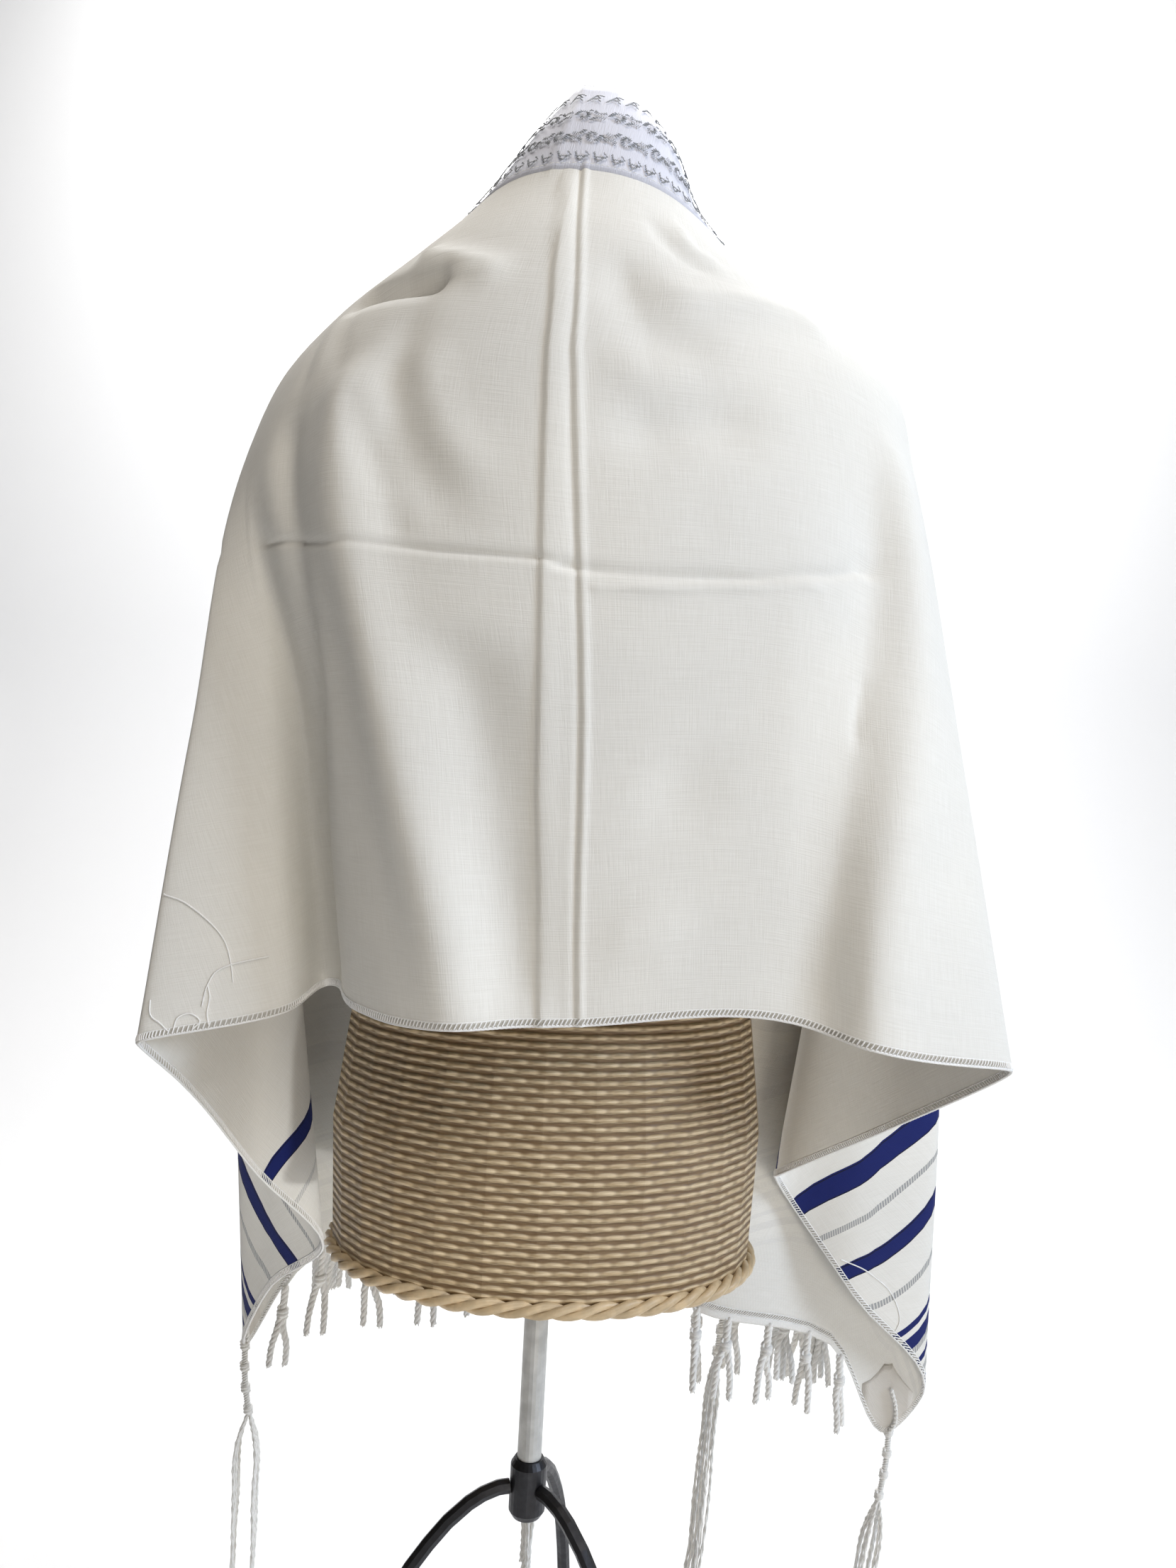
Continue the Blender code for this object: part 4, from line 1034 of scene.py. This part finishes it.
def make_band_seams(hung):
    """The machine stitches that hold the neck band, near its edges."""
    thing = add_strands("atara_seams", 0)
    for down in BAND_SEAMS:
        for stitch in range(int(2 * (ATARA_REACH - SEAM_END) / SEAM_PITCH)):
            start = -ATARA_REACH + SEAM_END + stitch * SEAM_PITCH
            path = [hung.at(start + share * SEAM_STITCH, down, BAND_FACE + lift)[0]
                    for share, lift in SEAM_COURSE]
            add_strand(thing, path, SEAM_THREAD)
    return thing


# Loose threads that lie on the cloth: spots on the flat cut, in millimetres.
LOOSE_THREADS = [
    [(-333, 527), (-319, 534), (-311, 545), (-306, 559), (-307, 576), (-309, 586)],
    [(-288, 575), (-299, 575), (-309, 576), (-314, 578), (-320, 585), (-326, 597)],
    [(-320, 585), (-321, 592), (-325, 602), (-326, 609)],
    [(-342, 607), (-338, 601), (-332, 600), (-329, 605), (-333, 609)],
    [(-353, 588), (-354, 597), (-349, 602), (-345, 608)],
    [(746, 601), (761, 588), (777, 585), (791, 590), (802, 598), (808, 606)],
]
LOOSE_THREAD = 0.00050
LOOSE_LIFT = 0.0003  # from the cloth's face to the middle of a thread


def make_loose_threads(hung):
    """Thread ends left lying on the cloth."""
    thing = add_strands("loose_threads", 0)
    for line in LOOSE_THREADS:
        places = [hung.at(spot.x, spot.y, OUTSIDE + LOOSE_LIFT)[0] for spot in path_on_cut(line, 8)]
        add_strand(thing, places, LOOSE_THREAD)
    return thing


# ---- fringe
FRINGE_STRIP = 0.006  # the width of the heading
FRINGE_TASSELS = 12
FRINGE_INSET = 0.056  # from each long edge to the heading
FRINGE_MARGIN = 0.004  # from the heading's end to the first tassel
FRINGE_GAP = 0.0010  # from the cloth to the heading
HEADING_ROWS = 4
TASSEL_LENGTH = 0.062
TASSEL_KNOT_DROP = 0.019  # from the heading to the knot
TASSEL_SPREAD = 0.0065  # from the knot's middle out to the end of a tail
TASSEL_LEAN = 0.06  # how far off straight down a tassel hangs, over its length
TAIL_BEND = 0.002
TAIL_TAPER = 0.85
FRAYED_ENDS = 5
FRAY = 0.0018  # how far a frayed end goes to each side
FRAY_FROM, FRAY_TO = 0.003, 0.0016  # where it starts in the tail, and how far below it ends
FRAY_RADII = (0.0007, 0.0004)
# A tail's course below the knot: shares of its spread and of its drop.
TAIL_COURSE = ((0.12, 0.0), (0.55, 0.28), (0.9, 0.62))


def add_tail(thing, knot, way, angle, draws):
    """One twisted tail of a tassel, which goes off at an angle, and its frayed end."""
    drop = way * (TASSEL_LENGTH - TASSEL_KNOT_DROP)
    apart = level_way(angle) * TASSEL_SPREAD
    length = draws.uniform(0.9, 1.0)
    bend = level_draw(draws, TAIL_BEND)
    course = [knot + apart * spread + drop * share for spread, share in TAIL_COURSE]
    course[1] += bend
    path = smooth_path([*course, knot + apart + drop * length], 5)
    twist(thing, path, TASSEL_TAIL, angle, TAIL_TAPER)
    for _ in range(FRAYED_ENDS):
        frayed = [path[-1] - way * FRAY_FROM, path[-1] + level_draw(draws, FRAY) + way * FRAY_TO]
        add_strand(thing, frayed, FRAY_RADII)


def add_tassel(thing, root, draws):
    """One knotted tassel: a twisted stem, its knot and the two twisted tails below it."""
    way = (level_draw(draws, TASSEL_LEAN) - UP).normalized()
    knot = root + way * TASSEL_KNOT_DROP
    stem = smooth_path([root - way * FRINGE_STRIP * 0.4, root + way * TASSEL_KNOT_DROP * 0.5, knot], 5)
    twist(thing, stem, TASSEL_STEM)
    add_knot(thing, knot, way, TASSEL_KNOT)
    first = draws.uniform(0.0, pi)
    for angle in (first, first + pi):
        add_tail(thing, knot, way, angle, draws)


def make_fringe(name, hung, columns, seed, yarn):
    """The fringe of one short end: its tassels and their heading."""
    edge = hung.places[columns, -1]
    way = edge - hung.places[columns, -2]
    way /= np.linalg.norm(way, axis=1, keepdims=True)
    rows = np.stack([edge + way * (FRINGE_GAP + FRINGE_STRIP * k / HEADING_ROWS)
                     for k in range(HEADING_ROWS + 1)], axis=1)
    heading = add_sheet(name + "_heading", rows, np.zeros((*rows.shape[:2], 2)), CLOTH_WALL, 0.0, yarn)
    down = hung.cuts[columns, -1, 1]
    order = np.argsort(down)
    draws = np.random.default_rng(seed)
    tassels = add_strands(name + "_tassels", 1)
    for place in np.linspace(down.min() + FRINGE_MARGIN, down.max() - FRINGE_MARGIN, FRINGE_TASSELS):
        root = Vector([np.interp(place, down[order], rows[order, -1, k]) for k in range(3)])
        add_tassel(tassels, root, draws)
    return tassels, heading


# ---- tzitzit
TZITZIT_WOUND = 0.056  # the wound part
TZITZIT_LENGTH = 0.230  # the strands below it
TZITZIT_CORE = 0.0017  # radius of what the winding goes round
TZITZIT_KNOTS = (0.02, 0.34, 0.67, 0.99)  # shares of the way down the wound part
TZITZIT_DEPTH = 0.0028  # from one strand of a bunch to the next
TZITZIT_SHORTER = 0.03  # how much shorter each strand of a bunch is than the one before
STRAND_STRAY = 0.0009
STRAND_TAPER = 0.9
# A strand's course: how far off the middle, over its bunch's own, and the share of its fall.
STRAND_COURSE = ((1.0, 0.10), (1.1, 0.30), (1.15, 0.5), (1.0, 0.72))
# One row for each corner: the sideways places of the wound part's foot and of the strands' ends, how
# far the two bunches are from the middle, which way they part, and how far their ends curl.
Corner = namedtuple("Corner", "name kink sway apart turn curl")
CORNERS = [Corner(*row) for row in (
    ("left_front", 0.000, 0.002, 0.0040, 60.0, 0.000),
    ("left_hem", 0.006, 0.002, 0.0070, 0.0, 0.004),
    ("right_hem", -0.006, -0.032, 0.0055, 20.0, -0.004),
    ("right_front", -0.004, -0.012, 0.0024, 35.0, 0.014),
)]


def add_bunches(thing, row, foot, draws):
    """The eight twisted strands of a corner tassel, in two bunches."""
    across = level_way(radians(row.turn))
    deep = Vector((-across.y, across.x, 0.0))
    for strand in range(8):
        bunch, place = (1, -1)[strand % 2], strand // 2
        bend = across * bunch * row.apart + deep * (place - 1.5) * TZITZIT_DEPTH
        fall = Vector((row.sway, 0.0, 0.0)) - UP * TZITZIT_LENGTH * (1.0 - TZITZIT_SHORTER * place)
        stray = [level_draw(draws, STRAND_STRAY) for _ in range(5)]
        end = foot + bend * 0.7 + fall
        course = [foot + bend * wide + fall * share + off
                  for (wide, share), off in zip(STRAND_COURSE, stray)]
        path = smooth_path([foot + bend * 0.10, *course, end - fall * 0.08 + stray[4],
                            end + Vector((row.curl, 0.0, 0.0))], 6)
        twist(thing, path, TZITZIT_STRAND, strand, STRAND_TAPER)


def make_tzitzit(row, corner, seed):
    """A corner tassel: its wound and knotted part, and its bunches."""
    thing = add_strands(row.name + "_corner_tassel", 1)
    top = corner - UP * SEAM_GAP
    foot = top + Vector((row.kink, 0.0, -TZITZIT_WOUND))
    sag = Vector((row.kink * -0.25, 0.0, 0.0))
    bend = [top, top.lerp(foot, 0.5) + sag, foot]
    core = smooth_path(bend, 8)
    add_strand(thing, core, TZITZIT_CORE)
    twist(thing, smooth_path(bend, 60), WINDING)
    way = (foot - top).normalized()
    for share in TZITZIT_KNOTS:
        add_knot(thing, core[int(share * (len(core) - 1))], way, TZITZIT_KNOT)
    add_bunches(thing, row, foot, np.random.default_rng(seed))
    return thing


# From the corner, in millimetres: in from the short end and in from the long edge.
LOOP_COURSE = ((1, 1), (14, 4), (26, 13), (33, 26))
LOOP_LIFT = 0.0011  # from a patch's face to the middle of the cord


def make_corner_loop(name, hung, end, at_neck):
    """The cord that ties a tzitzit through its corner, over the patch."""
    thing = add_strands(name + "_corner_loop", 1)
    lift = -(OUTSIDE + SEAM_GAP + PATCH_WALL + LOOP_LIFT)
    edge, inwards = (0.0, 1) if at_neck else (CUT_WIDTH, -1)
    path = smooth_path([hung.at((END - along / MM) * end, edge + inwards * down / MM, lift)[0]
                        for along, down in LOOP_COURSE], 8)
    twist(thing, path, LOOP_CORD)
    return thing


# ---- the wicker rim
RIM_HALF_WIDTH, RIM_HALF_DEPTH, RIM_UP = 0.1360, 0.1040, 0.6770
RIM_STEPS, RIM_PLIES = 240, 3
RIM_TURNS = 17  # turns of each ply on its way round
RIM_PLAIT = 0.0028  # from the middle of the plait to the middle of a ply
RIM_CANE = 0.0027  # radius of a ply


def make_rim():
    """The plaited cane rim round the open foot of the form."""
    thing = add_strands("wicker_rim", 1)
    middle = Vector(POST_FROM_MIDDLE)
    for ply in range(RIM_PLIES):
        path = []
        for step in range(RIM_STEPS + 1):
            turn = 2 * pi * step / RIM_STEPS
            angle = turn * RIM_TURNS + 2 * pi * ply / RIM_PLIES
            out = 1 + RIM_PLAIT * cos(angle) / RIM_HALF_WIDTH
            path.append(middle + Vector((RIM_HALF_WIDTH * out * cos(turn),
                                         RIM_HALF_DEPTH * out * sin(turn),
                                         RIM_UP + RIM_PLAIT * sin(angle))))
        add_strand(thing, path, RIM_CANE)
    return thing


# ---- lights, floor and camera
EYE = (-0.0135, -0.812, 0.98)
LENS, SENSOR = 27.09, 36.0  # in millimetres
ROLL = 3.0  # degrees

Light = namedtuple("Light", "name place target size power colour")
MIDDLE = (0.0, 0.0, 1.0)
LIGHTS = [Light(*row) for row in (
    ("key", (2.45, -1.2, 2.05), MIDDLE, 0.8, 52.0, (0.72, 0.83, 1.0)),
    ("top", (0.2, -1.1, 3.3), MIDDLE, 1.2, 32.0, (1.0, 0.95, 0.89)),
    ("fill", (1.1, -2.3, 0.3), (-0.1, 0.0, 0.55), 1.2, 19.0, (1.0, 0.92, 0.79)),
    ("backdrop", (0.0, 1.5, 3.4), (0.0, 3.0, 0.9), 3.0, 114.0, (1.0, 1.0, 1.0)),
)]
SPOT_FROM, SPOT_TO = (1.1, -2.3, 0.35), (-0.215, 0.02, 0.69)
SPOT_POWER = 90.0
SPOT_CONE = 0.11  # radians
SPOT_RADIUS = 0.08
ROOM_COLOUR = (1.0, 0.75, 0.5)
ROOM_POWER = 0.03

FLOOR_FRONT, SWEEP_START, SWEEP_RADIUS = -3.5, 1.6, 1.4
BACKDROP_TOP = 5.0
STAGE_HALF = 4.5


def make_camera():
    """A camera level with the middle of the back."""
    lens = bpy.data.cameras.new("view")
    lens.lens = LENS
    lens.sensor_width = SENSOR
    lens.clip_start = 0.02
    camera = add_thing("view", lens)
    turned = Matrix.Rotation(radians(90.0), 4, "X") @ Matrix.Rotation(radians(ROLL), 4, "Z")
    camera.matrix_world = Matrix.Translation(EYE) @ turned
    bpy.context.scene.camera = camera


def make_stage():
    """A pale floor that sweeps up into a backdrop."""
    sweep = [radians(turn) for turn in range(6, 91, 6)]
    profile = [(FLOOR_FRONT, 0.0), (SWEEP_START, 0.0)]
    profile += [(SWEEP_START + SWEEP_RADIUS * sin(turn), SWEEP_RADIUS * (1 - cos(turn)))
                for turn in sweep]
    profile.append((SWEEP_START + SWEEP_RADIUS, BACKDROP_TOP))
    places = [(side, along, up) for along, up in profile for side in (-STAGE_HALF, STAGE_HALF)]
    faces = [(2 * k, 2 * k + 1, 2 * k + 3, 2 * k + 2) for k in range(len(profile) - 1)]
    mesh = bpy.data.meshes.new("stage")
    mesh.from_pydata(places, [], faces)
    mesh.shade_smooth()
    stage = add_thing("stage", mesh)
    paper = Finish("studio_paper", Roughness=0.9, Base_Color=(0.9, 0.9, 0.9, 1.0))
    mesh.materials.append(paper.material)


def aim(name, light, place, target):
    """Put a light in its place, facing a target."""
    thing = add_thing(name, light)
    thing.location = place
    way = Vector(target) - Vector(place)
    thing.rotation_euler = way.to_track_quat("-Z", "Y").to_euler()


def make_lights():
    """A cool key from the right, a warm top and fill, a lit backdrop and a spot on the left front."""
    world = bpy.data.worlds.new("studio")
    world.use_nodes = True
    room = world.node_tree.nodes["Background"].inputs
    room["Color"].default_value = opaque(ROOM_COLOUR)
    room["Strength"].default_value = ROOM_POWER
    bpy.context.scene.world = world
    bpy.context.scene.view_settings.view_transform = "Standard"
    for row in LIGHTS:
        light = bpy.data.lights.new(row.name, "AREA")
        light.size = row.size
        light.energy = row.power
        light.color = row.colour
        aim(row.name, light, row.place, row.target)
    spot = bpy.data.lights.new("left front", "SPOT")
    spot.energy = SPOT_POWER
    spot.spot_size = SPOT_CONE
    spot.spot_blend = 1.0
    spot.shadow_soft_size = SPOT_RADIUS
    aim("left front", spot, SPOT_FROM, SPOT_TO)


# ---- the whole
def place_piece(piece, finish, slot, *nodes):
    """Give a piece its finish, the body it rides on and the nodes it stands for; the slot is not used.
    """
    if finish is not None:
        piece.data.materials.append(finish)
    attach(piece, "root")
    if nodes:
        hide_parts(*nodes)


def place_trimmings(hung, sewing):
    """The neck band, the patches, and every thread that is sewn or lies on the cloth."""
    satin = finish_satin("white_satin", SATIN, 0.38)
    cotton = finish_satin("patch_cotton", COTTON, 0.70)
    silver = finish_yarn("silver_thread", (0.30, 0.31, 0.32), 0.36, 0.5, 2400.0, 0.00001)
    place_piece(make_atara(hung, satin), None, "white_satin", "atara_neck_band")
    for name, patch in make_patches(hung, cotton):
        place_piece(patch, None, "white_satin", name + "_patch")
    overlock = make_overlock(hung)
    place_piece(overlock, sewing, "white_yarn")
    place_piece(make_silver_work(hung), silver, "white_yarn")
    place_piece(make_band_seams(hung), sewing, "white_yarn")
    threads = make_loose_threads(hung)
    place_piece(threads, sewing, "white_yarn")
    return overlock, threads


def place_tassels(hung, yarn):
    """The fringes of the short ends, and the tzitzit of the corners."""
    along, down = hung.cuts[:, -1, 0], hung.cuts[:, -1, 1]
    fringed = (down >= FRINGE_INSET) & (down <= CUT_WIDTH - FRINGE_INSET)
    for seed, (name, end) in enumerate((("left_fringe", -1), ("right_fringe", 1)), 1):
        columns = np.flatnonzero(fringed & (along * end > END - ALMOST))
        tassels, heading = make_fringe(name, hung, columns, seed, yarn)
        place_piece(tassels, yarn, "white_yarn", name)
        place_piece(heading, None, "white_yarn")
    ends = np.flatnonzero(np.abs(along) > END - ALMOST)
    left, right = ends[along[ends] < 0], ends[along[ends] > 0]
    for seed, (row, column) in enumerate(zip(CORNERS, (left[0], left[-1], right[0], right[-1])), 5):
        corner = Vector(hung.places[column, -1]) - UP * OUTSIDE
        place_piece(make_tzitzit(row, corner, seed), yarn, "white_yarn", row.name + "_tzitzit")
        end = 1 if along[column] > 0 else -1
        loop = make_corner_loop(row.name, hung, end, down[column] < CUT_WIDTH / 2)
        place_piece(loop, yarn, "white_yarn")


def place_cloth(hung):
    """The cloth itself: one finish outside, and one inside where the stripes show less."""
    cloth = add_sheet("shawl", hung.places, hung.cuts, CLOTH_WALL, 0.0,
                      finish_cloth("ivory_cloth", False), finish_cloth("ivory_cloth_inside", True))
    place_piece(cloth, None, "ivory_cloth", "shawl_cloth")


def dress_frame():
    """Give the frame's own visible nodes their finishes."""
    finishes = {
        "wicker": finish_wicker(),
        "turned_wood": finish_wood(),
        "dark_iron": finish_bare("dark_iron", (0.05, 0.05, 0.055), 0.5, 0.7, 160.0, 0.0004),
        "pale_post": finish_bare("pale_post", (0.60, 0.60, 0.58), 0.42, 0.3, 90.0, 0.0002),
    }
    things = [bpy.data.objects.get(name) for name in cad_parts]
    for thing in filter(None, things):
        for slot in thing.material_slots:
            for finish, material in finishes.items():
                if slot.material and slot.material.name.startswith(finish):
                    slot.material = material


def main():
    """Build everything on the frame."""
    make_camera()
    make_lights()
    make_stage()
    hung = HungCloth()
    yarn = finish_yarn("white_yarn", (0.84, 0.83, 0.80), 0.7, 0.0, 1500.0, 0.00015)
    sewing = finish_yarn("sewing_thread", (0.94, 0.935, 0.92), 0.5, 0.0, 2400.0, 0.00001)
    overlock, threads = place_trimmings(hung, sewing)
    place_tassels(hung, yarn)
    place_cloth(hung)
    cane = finish_bare("cane", (0.64, 0.49, 0.30), 0.5, 0.0, 140.0, 0.0004)
    place_piece(make_rim(), cane, "wicker")
    dress_frame()


main()
